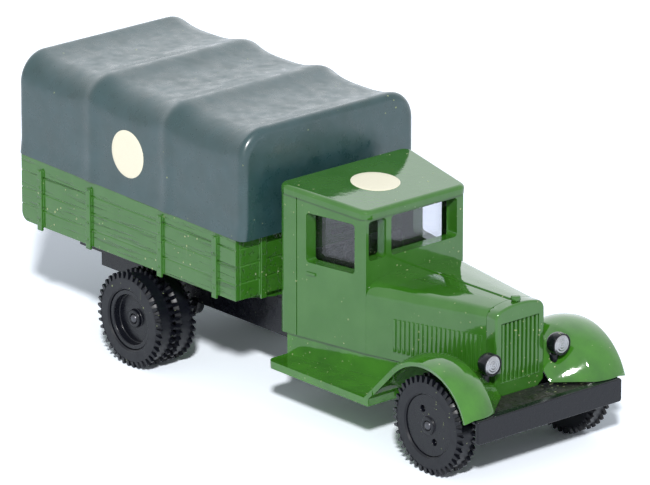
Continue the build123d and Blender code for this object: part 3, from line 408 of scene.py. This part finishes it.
def new_piece(name, mesh, material, body, slot, *nodes):
    """Put a finished mesh in the scene, on its body and in place of its CAD nodes."""
    mesh.name = name
    mesh.materials.clear()
    mesh.materials.append(material)
    piece = bpy.data.objects.new(name, mesh)
    bpy.context.scene.collection.objects.link(piece)
    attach(piece, body)
    if nodes:
        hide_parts(*nodes)
    return piece


def mesh_from(bm, name):
    """A mesh of what was being edited."""
    mesh = bpy.data.meshes.new(name)
    bm.to_mesh(mesh)
    bm.free()
    return mesh


def held(mesh):
    """An object that carries a mesh for a while."""
    holder = bpy.data.objects.new("holder", mesh)
    bpy.context.scene.collection.objects.link(holder)
    return holder


def worked_out(holder):
    """A plain mesh of what a holder's modifiers make of its mesh; the holder and its own mesh go."""
    view = bpy.context.evaluated_depsgraph_get()
    result = bpy.data.meshes.new_from_object(holder.evaluated_get(view))
    bpy.data.meshes.remove(holder.data)
    return result


def applied(mesh, *modifiers):
    """A plain mesh with the modifiers' result; each is a type and its settings."""
    holder = held(mesh)
    for kind, settings in modifiers:
        modifier = holder.modifiers.new(kind.lower(), kind)
        for key, value in settings.items():
            setattr(modifier, key, value)
    return worked_out(holder)


def smooth(mesh, degrees):
    """Shade a mesh smooth, but for edges that turn by more than so many degrees."""
    mesh.shade_smooth()
    mesh.set_sharp_from_angle(angle=radians(degrees))


def closed(mesh):
    """A mesh with its loose triangles joined."""
    bm = bmesh.new()
    bm.from_mesh(mesh)
    bmesh.ops.remove_doubles(bm, verts=bm.verts, dist=MERGE)
    return bm


def cleaned(mesh):
    """A mesh with its loose triangles joined and its flat faces whole."""
    bm = closed(mesh)
    bmesh.ops.dissolve_limit(bm, angle_limit=FLAT, verts=bm.verts, edges=bm.edges)
    return bm


def merged_copy(node):
    return cleaned(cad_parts[node].data)


def rounded(mesh, edge):
    """A mesh with its sharp edges rounded as moulded edges are."""
    mesh.shade_smooth()
    bevel = {"width": edge, "segments": 2, "limit_method": "ANGLE", "angle_limit": radians(35)}
    return applied(mesh, ("BEVEL", bevel), ("WEIGHTED_NORMAL", {"keep_sharp": True}))


def rounded_copy(node, edge):
    return rounded(mesh_from(merged_copy(node), node), edge)


def welded_copy(nodes, edge):
    """The meshes of several nodes as one moulding without seams, its sharp edges rounded."""
    first, *others = [mesh_from(closed(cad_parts[node].data), node) for node in nodes]
    others = [held(mesh) for mesh in others]
    unions = [("BOOLEAN", {"operation": "UNION", "solver": "MANIFOLD", "object": other}) for other in others]
    mesh = applied(first, *unions)
    for other in others:
        bpy.data.meshes.remove(other.data)
    whole = mesh_from(cleaned(mesh), nodes[0])
    bpy.data.meshes.remove(mesh)
    return rounded(whole, edge)


def flat_copy(node):
    """A node's mesh as it is, with flat faces."""
    mesh = mesh_from(merged_copy(node), node)
    mesh.shade_flat()
    return mesh


def lathe(profile, centre, along_x, steps):
    """Turn a closed profile of (radius, place along) about an axis, X or Y, through a centre."""
    bm = bmesh.new()
    rings = []
    for i in range(steps):
        turn = 2 * pi * i / steps
        ring = []
        for radius, reach in profile:
            a, b = radius * cos(turn), radius * sin(turn)
            spot = Vector((reach, a, b)) if along_x else Vector((a, reach, b))
            ring.append(bm.verts.new(spot + centre))
        rings.append(ring)
    for i in range(steps):
        a, b = rings[i], rings[(i + 1) % steps]
        for j in range(len(profile)):
            k = (j + 1) % len(profile)
            bm.faces.new((a[j], a[k], b[k], b[j]))
    bmesh.ops.remove_doubles(bm, verts=bm.verts, dist=MERGE)
    bmesh.ops.dissolve_degenerate(bm, dist=MERGE, edges=bm.edges)
    bmesh.ops.delete(bm, geom=[edge for edge in bm.edges if not edge.link_faces], context="EDGES")
    bmesh.ops.recalc_face_normals(bm, faces=bm.faces)
    return bm


def new_tree(name, sockets):
    """A geometry tree with a mesh going in and out, and named inputs for its sizes."""
    tree = bpy.data.node_groups.new(name, "GeometryNodeTree")
    tree.interface.new_socket("Mesh", in_out="INPUT", socket_type="NodeSocketGeometry")
    for label, kind in sockets:
        tree.interface.new_socket(label, in_out="INPUT", socket_type=kind)
    tree.interface.new_socket("Mesh", in_out="OUTPUT", socket_type="NodeSocketGeometry")
    return tree, tree.nodes.new("NodeGroupInput").outputs


def end_tree(tree, geometry, material):
    """Realise a tree's instances, give them their material and send them out."""
    real = add_node(tree, "GeometryNodeRealizeInstances", {0: geometry})
    done = add_node(tree, "GeometryNodeSetMaterial", {0: real.outputs[0], "Material": material})
    add_node(tree, "NodeGroupOutput", {0: done.outputs[0]})
    return tree


def grown(mesh, tree, values):
    """A plain mesh of what a geometry tree makes from a mesh; values are by the inputs' names."""
    holder = held(mesh)
    modifier = holder.modifiers.new("tree", "NODES")
    modifier.node_group = tree
    for item in tree.interface.items_tree:
        if item.in_out == "INPUT" and item.name in values:
            modifier[item.identifier] = values[item.name]
    return worked_out(holder)


def dress(nodes, material, body, slot, edge_share=1.0):
    """Replace plain nodes with rounded mouldings."""
    for node in nodes:
        mesh = rounded_copy(node, edge_share * sizes().edge)
        new_piece(node + "_moulding", mesh, material, body, slot, node)


# Operators

class TRUCK_OT_stage(bpy.types.Operator):
    """Make the floor, the lights and the camera"""
    bl_idname = "truck.stage"
    bl_label = "Stage"

    def execute(self, context):
        view = context.scene.truck_view
        context.scene.view_settings.view_transform = "Standard"
        make_floor(view)
        aim = Vector((view.aim_x, 0, view.aim_z))
        make_camera(view, aim)
        make_light(view)
        make_world(view)
        return {"FINISHED"}


def towards(azimuth, elevation):
    """Direction from the model at an azimuth, which is 0 to the truck's right, and an elevation."""
    return Vector((sin(azimuth) * cos(elevation), -cos(azimuth) * cos(elevation), sin(elevation)))


def make_floor(view):
    """Pale floor that keeps the shadow; to the eye and in reflections it is white."""
    bm = bmesh.new()
    bmesh.ops.create_grid(bm, x_segments=8, y_segments=8, size=2.5)
    floor = bpy.data.objects.new("floor", mesh_from(bm, "floor"))
    bpy.context.scene.collection.objects.link(floor)
    item = bpy.data.materials.new("floor_paper")
    item.use_nodes = True
    tree = item.node_tree
    tree.nodes.remove(tree.nodes["Principled BSDF"])
    bright = [view.floor_gain * v for v in colours().floor_seen]
    tone = mix_colour(tree, seen_directly(tree), rgba(colours().floor), rgba(bright))
    paper = add_node(tree, "ShaderNodeBsdfDiffuse", {"Color": tone})
    tree.links.new(paper.outputs[0], tree.nodes["Material Output"].inputs["Surface"])
    floor.data.materials.append(item)


def seen_directly(tree):
    """1 for what the eye sees, straight, mirrored or through glass, and 0 for light that falls back."""
    path = add_node(tree, "ShaderNodeLightPath").outputs
    seen = maths(tree, "MAXIMUM", path["Is Camera Ray"], path["Is Glossy Ray"])
    seen = maths(tree, "MAXIMUM", seen, path["Is Transmission Ray"])
    return maths(tree, "MULTIPLY", seen, maths(tree, "LESS_THAN", path["Diffuse Depth"], 0.5))


def make_camera(view, aim):
    data = bpy.data.cameras.new("camera")
    data.sensor_width = 36.0
    data.lens = view.focal
    data.clip_start = 0.01
    data.clip_end = 20.0
    camera = bpy.data.objects.new("camera", data)
    back = towards(view.azimuth, view.elevation)
    camera.location = aim + view.distance * back
    camera.rotation_euler = back.to_track_quat("Z", "Y").to_euler()
    bpy.context.scene.collection.objects.link(camera)
    bpy.context.scene.camera = camera


def make_light(view):
    """One soft light from just over the camera."""
    data = bpy.data.lights.new("key", "SUN")
    data.angle = view.key_width
    data.energy = view.key_strength
    lamp = bpy.data.objects.new("key", data)
    back = towards(view.key_azimuth, view.key_elevation)
    lamp.rotation_euler = back.to_track_quat("Z", "Y").to_euler()
    bpy.context.scene.collection.objects.link(lamp)


def make_world(view):
    """White all round to the eye and in reflections, brightest far behind the model; dimmer as light."""
    world = bpy.data.worlds.new("studio")
    world.use_nodes = True
    tree = world.node_tree
    back = -towards(view.azimuth, -view.elevation)
    place = add_node(tree, "ShaderNodeTexCoord").outputs["Generated"]
    facing = add_node(tree, "ShaderNodeVectorMath", {0: place, 1: back}, operation="DOT_PRODUCT")
    bright = spread(tree, facing.outputs["Value"], low=0.4, high=0.9, to_low=1.0, to_high=view.backdrop)
    strength = add_node(tree, "ShaderNodeMix", {0: seen_directly(tree), 2: view.ambient, 3: bright})
    tree.links.new(strength.outputs[0], tree.nodes["Background"].inputs["Strength"])
    tree.nodes["Background"].inputs["Color"].default_value = rgba(colours().sky)
    bpy.context.scene.world = world


class TRUCK_OT_cover(bpy.types.Operator):
    """Make the hard cover with its bows"""
    bl_idname = "truck.cover"
    bl_label = "Cover"

    def execute(self, context):
        mesh = applied(
            mesh_from(cover_skin(), "cover"),
            ("SOLIDIFY", {"thickness": sizes().cover_wall, "offset": -1.0}),
        )
        smooth(mesh, degrees=50)
        new_piece("cover_shell", mesh, cover_plastic(), "truck", "cover_plastic", "cover")
        return {"FINISHED"}


def cover_foot(x, low, high):
    """Height of the cover's lower edge, which falls a little to the front."""
    rear = cover_seat_height("bed_side_right", low.x)
    front = cover_seat_height("bed_side_right", high.x)
    share = (x - low.x) / (high.x - low.x)
    return rear + share * (front - rear)


def cover_seat_height(node, x):
    """Height of the sloping top of a bed side, carried on to a station."""
    points = [v.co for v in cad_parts[node].data.vertices]
    rear_x, front_x = min(p.x for p in points), max(p.x for p in points)
    rear = max(p.z for p in points if p.x < rear_x + AT_END)
    front = max(p.z for p in points if p.x > front_x - AT_END)
    return rear + (x - rear_x) / (front_x - rear_x) * (front - rear)


def cover_skin():
    """Outer skin of the cover, open below, as rings from the back to the front."""
    s = sizes()
    low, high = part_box("cover")
    half = min(-low.y, high.y) - s.cover_flare - s.bow_proud
    rows = [cover_ring(x, inset, half, low, high) for x, inset in cover_stations(low.x, high.x, s.cover_edge)]
    bm = bmesh.new()
    grid = [[bm.verts.new(point) for point in row] for row in rows]
    for a, b in zip(grid, grid[1:]):
        for i in range(len(a) - 1):
            bm.faces.new((a[i], a[i + 1], b[i + 1], b[i]))
    bm.faces.new(list(reversed(grid[0])))
    bm.faces.new(grid[-1])
    bmesh.ops.recalc_face_normals(bm, faces=bm.faces)
    return bm


def cover_stations(x_from, x_to, edge):
    """Places along the cover and how far the skin is drawn in there: both ends are rounded over."""
    steps, turns = 132, 8
    rear = [(x_from + edge * (1 - cos(a)), edge * (1 - sin(a))) for a in
            (pi / 2 * i / turns for i in range(turns))]
    span = x_to - x_from - 2 * edge
    middle = [(x_from + edge + span * i / steps, 0.0) for i in range(steps + 1)]
    front = [(x_from + x_to - x, inset) for x, inset in reversed(rear)]
    return rear + middle + front


def cover_drop(x, x_from, x_to):
    """How far the cover hangs below its bows at a station, with rounded crests."""
    s = sizes()
    bay = (x_to - x_from) / s.cover_bays
    place = ((x - x_from) / bay) % 1.0
    away = 2 * min(place, 1 - place)
    crest = s.cover_crest
    away = (sqrt(away * away + crest * crest) - crest) / (sqrt(1 + crest * crest) - crest)
    return s.cover_sag * (1 - (1 - away) ** 3)


def bow_nearness(x, x_from, x_to):
    """1 over a bow between the ends, falling to 0 beside it."""
    s = sizes()
    bay = (x_to - x_from) / s.cover_bays
    bow = min(s.cover_bays - 1, max(1, round((x - x_from) / bay)))
    away = (x - x_from - bow * bay) / s.bow_width
    return exp(-away * away)


def cover_ring(x, inset, half, low, high):
    """One section of the cover's skin, from the right foot over the top to the left foot."""
    s = sizes()
    foot = cover_foot(x, low, high)
    top = high.z - cover_drop(x, low.x, high.x) - inset
    side = half - inset + s.bow_proud * bow_nearness(x, low.x, high.x)
    corner = s.cover_corner - inset / 2  # tighter where the ends are rounded over
    wall_steps, corner_steps, top_steps = 16, 14, 15
    points = []
    for i in range(wall_steps):
        z = foot + (top - corner - foot) * i / wall_steps
        flare = s.cover_flare * max(0.0, 1 - (z - foot) / s.cover_flare_height)
        points.append((side + flare, z))
    for i in range(corner_steps + 1):
        turn = pi / 2 * i / corner_steps
        points.append((side - corner + corner * cos(turn), top - corner + corner * sin(turn)))
    for i in range(1, top_steps + 1):
        points.append(((side - corner) * (1 - i / top_steps), top))
    right = [(x, -y, z) for y, z in points]
    left = [(x, y, z) for y, z in reversed(points[:-1])]
    return right + left


class TRUCK_OT_bed(bpy.types.Operator):
    """Dress the load bed"""
    bl_idname = "truck.bed"
    bl_label = "Load bed"

    def execute(self, context):
        nodes = ("bed_side_left", "bed_side_right", "bed_headboard", "bed_tailgate", "bed_floor")
        dress(nodes, board_plastic(), "truck", "green_plastic", edge_share=0.7)
        dress(("bed_sills",), black_plastic(), "truck", "black_plastic")
        mesh = grown(bolt_places(), bolt_tree(), {"Radius": sizes().bolt_radius})
        new_piece("stake_bolts", mesh, board_plastic(), "truck", "green_plastic")
        return {"FINISHED"}


def bolt_places():
    """Points on the outer faces of the bed's stakes, one near the middle of each board."""
    bm = bmesh.new()
    for name, side in SIDES.items():
        low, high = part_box(f"bed_side_{name}")
        face = high.y if side == LEFT else low.y
        for stake in STAKE_SHARES:
            x = high.x - stake * (high.x - low.x)
            for i in range(BOLTS):
                bm.verts.new((x, face, low.z + (i + FIRST_BOLT) / SIDE_HEIGHT * (high.z - low.z)))
    return mesh_from(bm, "bolt_places")


def bolt_tree():
    """A low round head at each point."""
    tree, size = new_tree("bolt_heads", [("Radius", "NodeSocketFloat")])
    ball = add_node(tree, "GeometryNodeMeshUVSphere", {"Segments": 14, "Rings": 8, "Radius": size["Radius"]})
    head = add_node(tree, "GeometryNodeTransform", {"Geometry": ball.outputs[0], "Scale": BOLT_SHAPE})
    inputs = {"Points": size["Mesh"], "Instance": head.outputs[0]}
    heads = add_node(tree, "GeometryNodeInstanceOnPoints", inputs)
    return end_tree(tree, heads.outputs[0], board_plastic())


class TRUCK_OT_cab(bpy.types.Operator):
    """Dress the cab"""
    bl_idname = "truck.cab"
    bl_label = "Cab"

    def execute(self, context):
        nodes = ("cab_roof", "cab_front", "cab_side_left", "cab_side_right", "cab_back")
        mesh = welded_copy(nodes, sizes().edge)
        new_piece("cab_shell", mesh, green_plastic(), "truck", "green_plastic", *nodes)
        dress(("cab_floor",), green_plastic(), "truck", "green_plastic")
        dress(("cab_seat", "steering_wheel"), black_plastic(), "truck", "black_plastic")
        new_piece("cab_glazing_lining", flat_copy("cab_glazing"), clear_plastic(), "truck", "clear_plastic",
                  "cab_glazing")
        return {"FINISHED"}


class TRUCK_OT_nose(bpy.types.Operator):
    """Dress the bonnet, the radiator and the fenders"""
    bl_idname = "truck.nose"
    bl_label = "Nose"

    def execute(self, context):
        dress(("bonnet", "radiator", "radiator_cap"), green_plastic(), "truck", "green_plastic")
        board_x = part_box("cab_front")[1].x + sizes().board_start
        for name, side in SIDES.items():
            node = f"fender_{name}"
            step = trimmed(rounded_copy(node, sizes().edge), board_x, behind=True)
            wing = trimmed(wing_sheet(node, side), board_x, behind=False)
            mesh = joined(step, wing, wing_panel(node, side, board_x))
            new_piece(node + "_moulding", mesh, wing_plastic(), "truck", "green_plastic", node)
        return {"FINISHED"}


def trimmed(mesh, x, behind):
    """What lies behind or ahead of a station, closed there."""
    bm = bmesh.new()
    bm.from_mesh(mesh)
    bpy.data.meshes.remove(mesh)
    everything = bm.verts[:] + bm.edges[:] + bm.faces[:]
    cut = bmesh.ops.bisect_plane(bm, geom=everything, dist=AT_CUT, plane_co=(x, 0, 0), plane_no=(1, 0, 0),
                                 clear_outer=behind, clear_inner=not behind)
    rim = [item for item in cut["geom_cut"] if isinstance(item, bmesh.types.BMEdge)]
    bmesh.ops.edgeloop_fill(bm, edges=rim)
    return mesh_from(bm, "trimmed")


def joined(*meshes):
    """Several meshes as one, shaded by its large faces."""
    bm = bmesh.new()
    for mesh in meshes:
        bm.from_mesh(mesh)
        bpy.data.meshes.remove(mesh)
    mesh = mesh_from(bm, "joined")
    smooth(mesh, degrees=40)
    return applied(mesh, ("WEIGHTED_NORMAL", {"keep_sharp": True}))


def wing_radius(reach, outer):
    """A wing's radius round the axle at a distance from the middle: a crown, then a slope to the nose."""
    s = sizes()
    inner = outer - s.wing_band
    if reach >= inner:
        share = (2 * reach - inner - outer) / s.wing_band
        return s.wing_crown - (s.wing_crown - s.wing_lip) * share * share
    share = (inner - reach) / (inner - s.nose_half)
    fall = (1 + s.wing_hollow) * share - s.wing_hollow * share * share
    return s.wing_lip - (s.wing_lip - s.wing_root) * fall


def wing_column(reach, outer, centre):
    """One line of a wing from its front edge over the wheel and straight down behind it, as (x, z)."""
    s = sizes()
    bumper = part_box("front_bumper")[1]
    beside = max(0.0, reach - bumper.y - s.bumper_room) / (outer - bumper.y)
    edge = bumper.z + s.wing_rest - s.wing_dip * beside
    radius = wing_radius(reach, outer)
    start, steps, tail = asin((edge - centre.z) / radius), 44, 8
    turns = [start + (s.wing_end - start) * i / steps for i in range(steps + 1)]
    line = [(centre.x + radius * cos(a), centre.z + radius * sin(a)) for a in turns]
    x, z = line[-1]
    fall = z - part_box("fender_left")[0].z - s.wing_foot
    return line + [(x - fall * i / tail, z - fall * i / tail) for i in range(1, tail + 1)]


def bonnet_line():
    """Distance from the truck's middle to just outside the bonnet, as a function of the station."""
    half, room = sizes().nose_half, sizes().bonnet_room
    back, front = (corner.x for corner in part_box("bonnet"))
    taper = (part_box("cab_front")[1].y - half) / (front - back)
    return lambda x: half + room + taper * (front - x)


def wing_panel(node, side, board_x):
    """Upright panel behind a wheel that closes the gap between its wing, the bonnet and the running board."""
    s = sizes()
    foot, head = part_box(node)[0].z + s.wing_foot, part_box("bonnet")[0].z + s.panel_lap
    back, front = board_x - s.panel_back, board_x + s.panel_length
    beside, slope = bonnet_line(), s.panel_slope
    shape = [(back, foot), (front - slope, foot), (front, foot + slope), (front, head), (back, head)]
    bm = bmesh.new()
    inner, outer = [
        [bm.verts.new((x, side * (beside(x) + out), z)) for x, z in shape] for out in (0.0, s.panel_wall)]
    bm.faces.new(inner)
    bm.faces.new(outer)
    for i in range(len(shape)):
        j = (i + 1) % len(shape)
        bm.faces.new((inner[i], inner[j], outer[j], outer[i]))
    bmesh.ops.recalc_face_normals(bm, faces=bm.faces)
    return mesh_from(bm, node)


def wing_sheet(node, side):
    """A wing as a bent sheet with a rounded lip, clear of the bonnet and the rails."""
    s = sizes()
    low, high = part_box(node)
    outer = max(abs(low.y), abs(high.y))
    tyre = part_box("front_tyre_left")
    centre = (tyre[0] + tyre[1]) / 2
    columns, beside = 34, bonnet_line()
    bm = bmesh.new()
    rows = []
    for j in range(columns + 1):
        reach = s.nose_half + (outer - s.nose_half) * j / columns
        row = []
        for x, z in wing_column(reach, outer, centre):
            row.append(bm.verts.new((x, side * max(reach, beside(x)), z)))
        rows.append(row)
    for a, b in zip(rows, rows[1:]):
        for i in range(len(a) - 1):
            bm.faces.new((a[i], a[i + 1], b[i + 1], b[i]))
    bmesh.ops.recalc_face_normals(bm, faces=bm.faces)
    top = max(bm.faces, key=lambda face: face.calc_center_median().z)
    if top.normal.z < 0:
        bmesh.ops.reverse_faces(bm, faces=bm.faces)
    mesh = mesh_from(bm, node)
    mesh.shade_smooth()
    wall = {"thickness": s.wing_wall, "offset": -1.0, "use_even_offset": True}
    bevel = {"width": s.edge, "segments": 3, "limit_method": "ANGLE", "angle_limit": radians(50)}
    return applied(mesh, ("SOLIDIFY", wall), ("BEVEL", bevel))


class TRUCK_OT_lamps(bpy.types.Operator):
    """Dress the headlamps"""
    bl_idname = "truck.lamps"
    bl_label = "Lamps"

    def execute(self, context):
        dress(("headlamp_left", "headlamp_right"), black_plastic(), "truck", "black_plastic", edge_share=0.5)
        silver = lens_silver()
        for name in SIDES:
            node = f"headlamp_lens_{name}"
            mesh = mesh_from(ringed_lens(node), node)
            smooth(mesh, degrees=40)
            new_piece(node + "_silvered", mesh, silver, "truck", "lens_silver", node)
        return {"FINISHED"}


def ringed_lens(node):
    """Domed lens with concentric rings on its face."""
    s = sizes()
    low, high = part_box(node)
    middle = (low + high) / 2
    radius, steps = (high.z - low.z) / 2, 30
    dome = s.lens_dome * (high.x - low.x)
    profile = [(0.0, low.x), (radius, low.x)]
    for i in range(steps + 1):
        share = 1 - i / steps
        ring = 0.5 - 0.5 * cos(2 * pi * s.lens_rings * share)
        profile.append((radius * share, high.x - dome * share * share - s.lens_ring * ring))
    return lathe(profile, Vector((0, middle.y, middle.z)), along_x=True, steps=64)


class TRUCK_OT_chassis(bpy.types.Operator):
    """Dress the frame, the bumper and the apron plate"""
    bl_idname = "truck.chassis"
    bl_label = "Chassis"

    def execute(self, context):
        dress(("chassis_frame", "front_bumper"), black_plastic(), "truck", "black_plastic")
        dress(("front_apron",), apron_plastic(), "truck", "black_plastic")
        return {"FINISHED"}


class TRUCK_OT_wheels(bpy.types.Operator):
    """Dress the wheels, tyres and axles"""
    bl_idname = "truck.wheels"
    bl_label = "Wheels"

    def execute(self, context):
        tree = lug_tree()
        for name in SIDES:
            treaded((f"front_tyre_{name}",), "front_wheels", tree)
            treaded((f"rear_tyre_outer_{name}", f"rear_tyre_inner_{name}"), "rear_wheels", tree)
            dress((f"front_wheel_{name}",), black_plastic(), "front_wheels", "tyre_plastic")
            dress((f"rear_wheel_{name}",), black_plastic(), "rear_wheels", "tyre_plastic")
        steel = axle_steel()
        for end in ("front", "rear"):
            dress((f"{end}_axle",), steel, f"{end}_wheels", "axle_steel", edge_share=2.5)
        return {"FINISHED"}


def treaded(nodes, body, tree):
    """Replace tyres with turned ones that carry two rows of lugs."""
    s = sizes()
    for node in nodes:
        low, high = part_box(node)
        centre = (low + high) / 2
        radius, half = (high.z - low.z) / 2, (high.y - low.y) / 2
        ring = mesh_from(tyre_ring(node, centre, radius, half), node)
        smooth(ring, degrees=40)
        mesh = grown(ring, tree, {
            "Lugs": s.lug_count, "Radius": radius - s.lug_height, "Height": s.lug_height,
            "Thickness": s.lug_thick, "Taper": s.lug_taper, "Row": s.lug_row,
            "Row place": half - s.lug_row / 2, "Centre": centre,
        })
        new_piece(node + "_tread", mesh, tyre_plastic(), body, "tyre_plastic", node)


def tyre_ring(node, centre, radius, half):
    """Body of a tyre between its lugs: flat flanks, sloping shoulders and a smooth middle."""
    s = sizes()
    rim = min(sqrt((v.co.x - centre.x) ** 2 + (v.co.z - centre.z) ** 2)
              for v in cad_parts[node].data.vertices)
    root = radius - s.lug_height
    tread = radius - s.lug_proud * s.lug_height
    flank = half - s.flank_room
    shoulder = flank - s.tyre_chamfer
    profile = []
    for side in (1, -1):
        outward = [
            (rim, side * (flank - s.rim_groove)), (rim + s.rim_groove, side * flank), (root, side * flank),
            (tread - s.tread_edge, side * shoulder), (tread, side * (shoulder - s.tread_edge)),
        ]
        profile += outward if side > 0 else reversed(outward)
    return lathe(profile, centre, along_x=False, steps=3 * s.lug_count)


def lug_tree():
    """Two rows of tapered lugs round a tyre that rolls about Y."""
    tree, size = new_tree("tyre_lugs", [
        ("Lugs", "NodeSocketInt"), ("Radius", "NodeSocketFloat"), ("Height", "NodeSocketFloat"),
        ("Thickness", "NodeSocketFloat"), ("Taper", "NodeSocketFloat"), ("Row", "NodeSocketFloat"),
        ("Row place", "NodeSocketFloat"), ("Centre", "NodeSocketVector"),
    ])
    corner = sqrt(0.5)  # middle of a square of side 1 to its corner
    block = add_node(tree, "GeometryNodeMeshCone", {
        "Vertices": 4, "Radius Top": maths(tree, "MULTIPLY", size["Taper"], corner), "Radius Bottom": corner,
        "Depth": size["Height"],
    })
    inputs = {"Geometry": block.outputs[0], "Rotation": (0, 0, pi / 4)}
    square = add_node(tree, "GeometryNodeTransform", inputs)
    girth = add_node(tree, "ShaderNodeCombineXYZ", {0: size["Row"], 1: size["Thickness"], 2: 1.0})
    lug = add_node(tree, "GeometryNodeTransform", {"Geometry": square.outputs[0], "Scale": girth.outputs[0]})
    circle = add_node(tree, "GeometryNodeMeshCircle", {"Vertices": size["Lugs"], "Radius": size["Radius"]})
    index = add_node(tree, "GeometryNodeInputIndex").outputs[0]
    share = maths(tree, "DIVIDE", index, size["Lugs"])
    turn = add_node(tree, "ShaderNodeCombineXYZ", {1: pi / 2, 2: maths(tree, "MULTIPLY", share, 2 * pi)})
    ring = add_node(tree, "GeometryNodeInstanceOnPoints", {
        "Points": circle.outputs[0], "Instance": lug.outputs[0], "Rotation": turn.outputs[0]})
    rows = [size["Mesh"]]
    for side in (1, -1):
        away = add_node(tree, "ShaderNodeCombineXYZ", {1: maths(tree, "MULTIPLY", size["Row place"], side)})
        inputs = {0: size["Centre"], 1: away.outputs[0]}
        place = add_node(tree, "ShaderNodeVectorMath", inputs, operation="ADD")
        rows.append(add_node(tree, "GeometryNodeTransform", {
            "Geometry": ring.outputs[0], "Translation": place.outputs[0], "Rotation": (pi / 2, 0, 0),
        }).outputs[0])
    whole = add_node(tree, "GeometryNodeJoinGeometry")
    for geometry in rows:
        tree.links.new(geometry, whole.inputs[0])
    return end_tree(tree, whole.outputs[0], tyre_plastic())


class TRUCK_OT_stickers(bpy.types.Operator):
    """Lay blank round stickers on the cover's sides and on the roof"""
    bl_idname = "truck.stickers"
    bl_label = "Stickers"

    def execute(self, context):
        paper, ahead = sticker_paper(), Vector((1, 0, 0))
        low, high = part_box("cover")
        along, up = COVER_STICKER
        for name, side in SIDES.items():
            middle = Vector((low.x + along * (high.x - low.x), side * high.y, low.z + up * (high.z - low.z)))
            stick(f"cover_sticker_{name}", paper, "cover_shell", middle, ahead, Vector((0, side, 0)))
        low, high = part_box("cab_roof")
        middle = Vector((low.x + ROOF_STICKER * (high.x - low.x), sizes().roof_sticker_side, high.z))
        stick("roof_sticker", paper, "cab_shell", middle, ahead, Vector((0, 0, 1)))
        return {"FINISHED"}


def stick(name, paper, target, middle, ahead, out):
    """Lay a thin disc on a finished piece, along its surface."""
    s = sizes()
    data = bpy.data.objects[target].data
    surface = BVHTree.FromPolygons([v.co for v in data.vertices], [p.vertices for p in data.polygons])
    beside, start, steps = out.cross(ahead), 30 * MM, 64  # rays start far outside the piece
    bm = bmesh.new()
    rings = []
    for share, lift in STICKER_RINGS:
        ring = []
        for i in range(steps):
            turn = 2 * pi * i / steps
            spot = middle + share * s.sticker_radius * (cos(turn) * ahead + sin(turn) * beside)
            hit = surface.ray_cast(spot + start * out, -out)[0] or surface.find_nearest(spot)[0]
            ring.append(bm.verts.new(hit + lift * s.sticker_thick * out))
        rings.append(ring)
    bm.faces.new(rings[0])
    bm.faces.new(list(reversed(rings[-1])))
    for a, b in zip(rings, rings[1:]):
        for i in range(steps):
            j = (i + 1) % steps
            bm.faces.new((a[i], b[i], b[j], a[j]))
    bmesh.ops.recalc_face_normals(bm, faces=bm.faces)
    mesh = mesh_from(bm, name)
    smooth(mesh, degrees=40)
    new_piece(name, mesh, paper, "truck", "green_plastic")


class TRUCK_PT_panel(bpy.types.Panel):
    """Lists the pieces"""
    bl_idname = "TRUCK_PT_panel"
    bl_label = "Truck Model"
    bl_space_type = "VIEW_3D"
    bl_region_type = "UI"
    bl_category = "Truck Model"

    def draw(self, context):
        for operator in OPERATORS:
            self.layout.operator(operator.bl_idname)
        for group in (context.scene.truck_sizes, context.scene.truck_colours, context.scene.truck_view):
            for key in group.__annotations__:
                self.layout.prop(group, key)


OPERATORS = (
    TRUCK_OT_stage, TRUCK_OT_cover, TRUCK_OT_bed, TRUCK_OT_cab, TRUCK_OT_nose, TRUCK_OT_lamps,
    TRUCK_OT_chassis, TRUCK_OT_wheels, TRUCK_OT_stickers,
)
CLASSES = (TruckColours, TruckSizes, TruckView) + OPERATORS + (TRUCK_PT_panel,)


def register():
    for item in CLASSES:
        bpy.utils.register_class(item)
    bpy.types.Scene.truck_colours = PointerProperty(type=TruckColours)
    bpy.types.Scene.truck_sizes = PointerProperty(type=TruckSizes)
    bpy.types.Scene.truck_view = PointerProperty(type=TruckView)


def unregister():
    del bpy.types.Scene.truck_view
    del bpy.types.Scene.truck_sizes
    del bpy.types.Scene.truck_colours
    for item in reversed(CLASSES):
        bpy.utils.unregister_class(item)


def main():
    register()
    bpy.ops.truck.stage()
    bpy.ops.truck.cover()
    bpy.ops.truck.bed()
    bpy.ops.truck.cab()
    bpy.ops.truck.nose()
    bpy.ops.truck.lamps()
    bpy.ops.truck.chassis()
    bpy.ops.truck.wheels()
    bpy.ops.truck.stickers()
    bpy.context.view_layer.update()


if __name__ == "__main__":
    main()
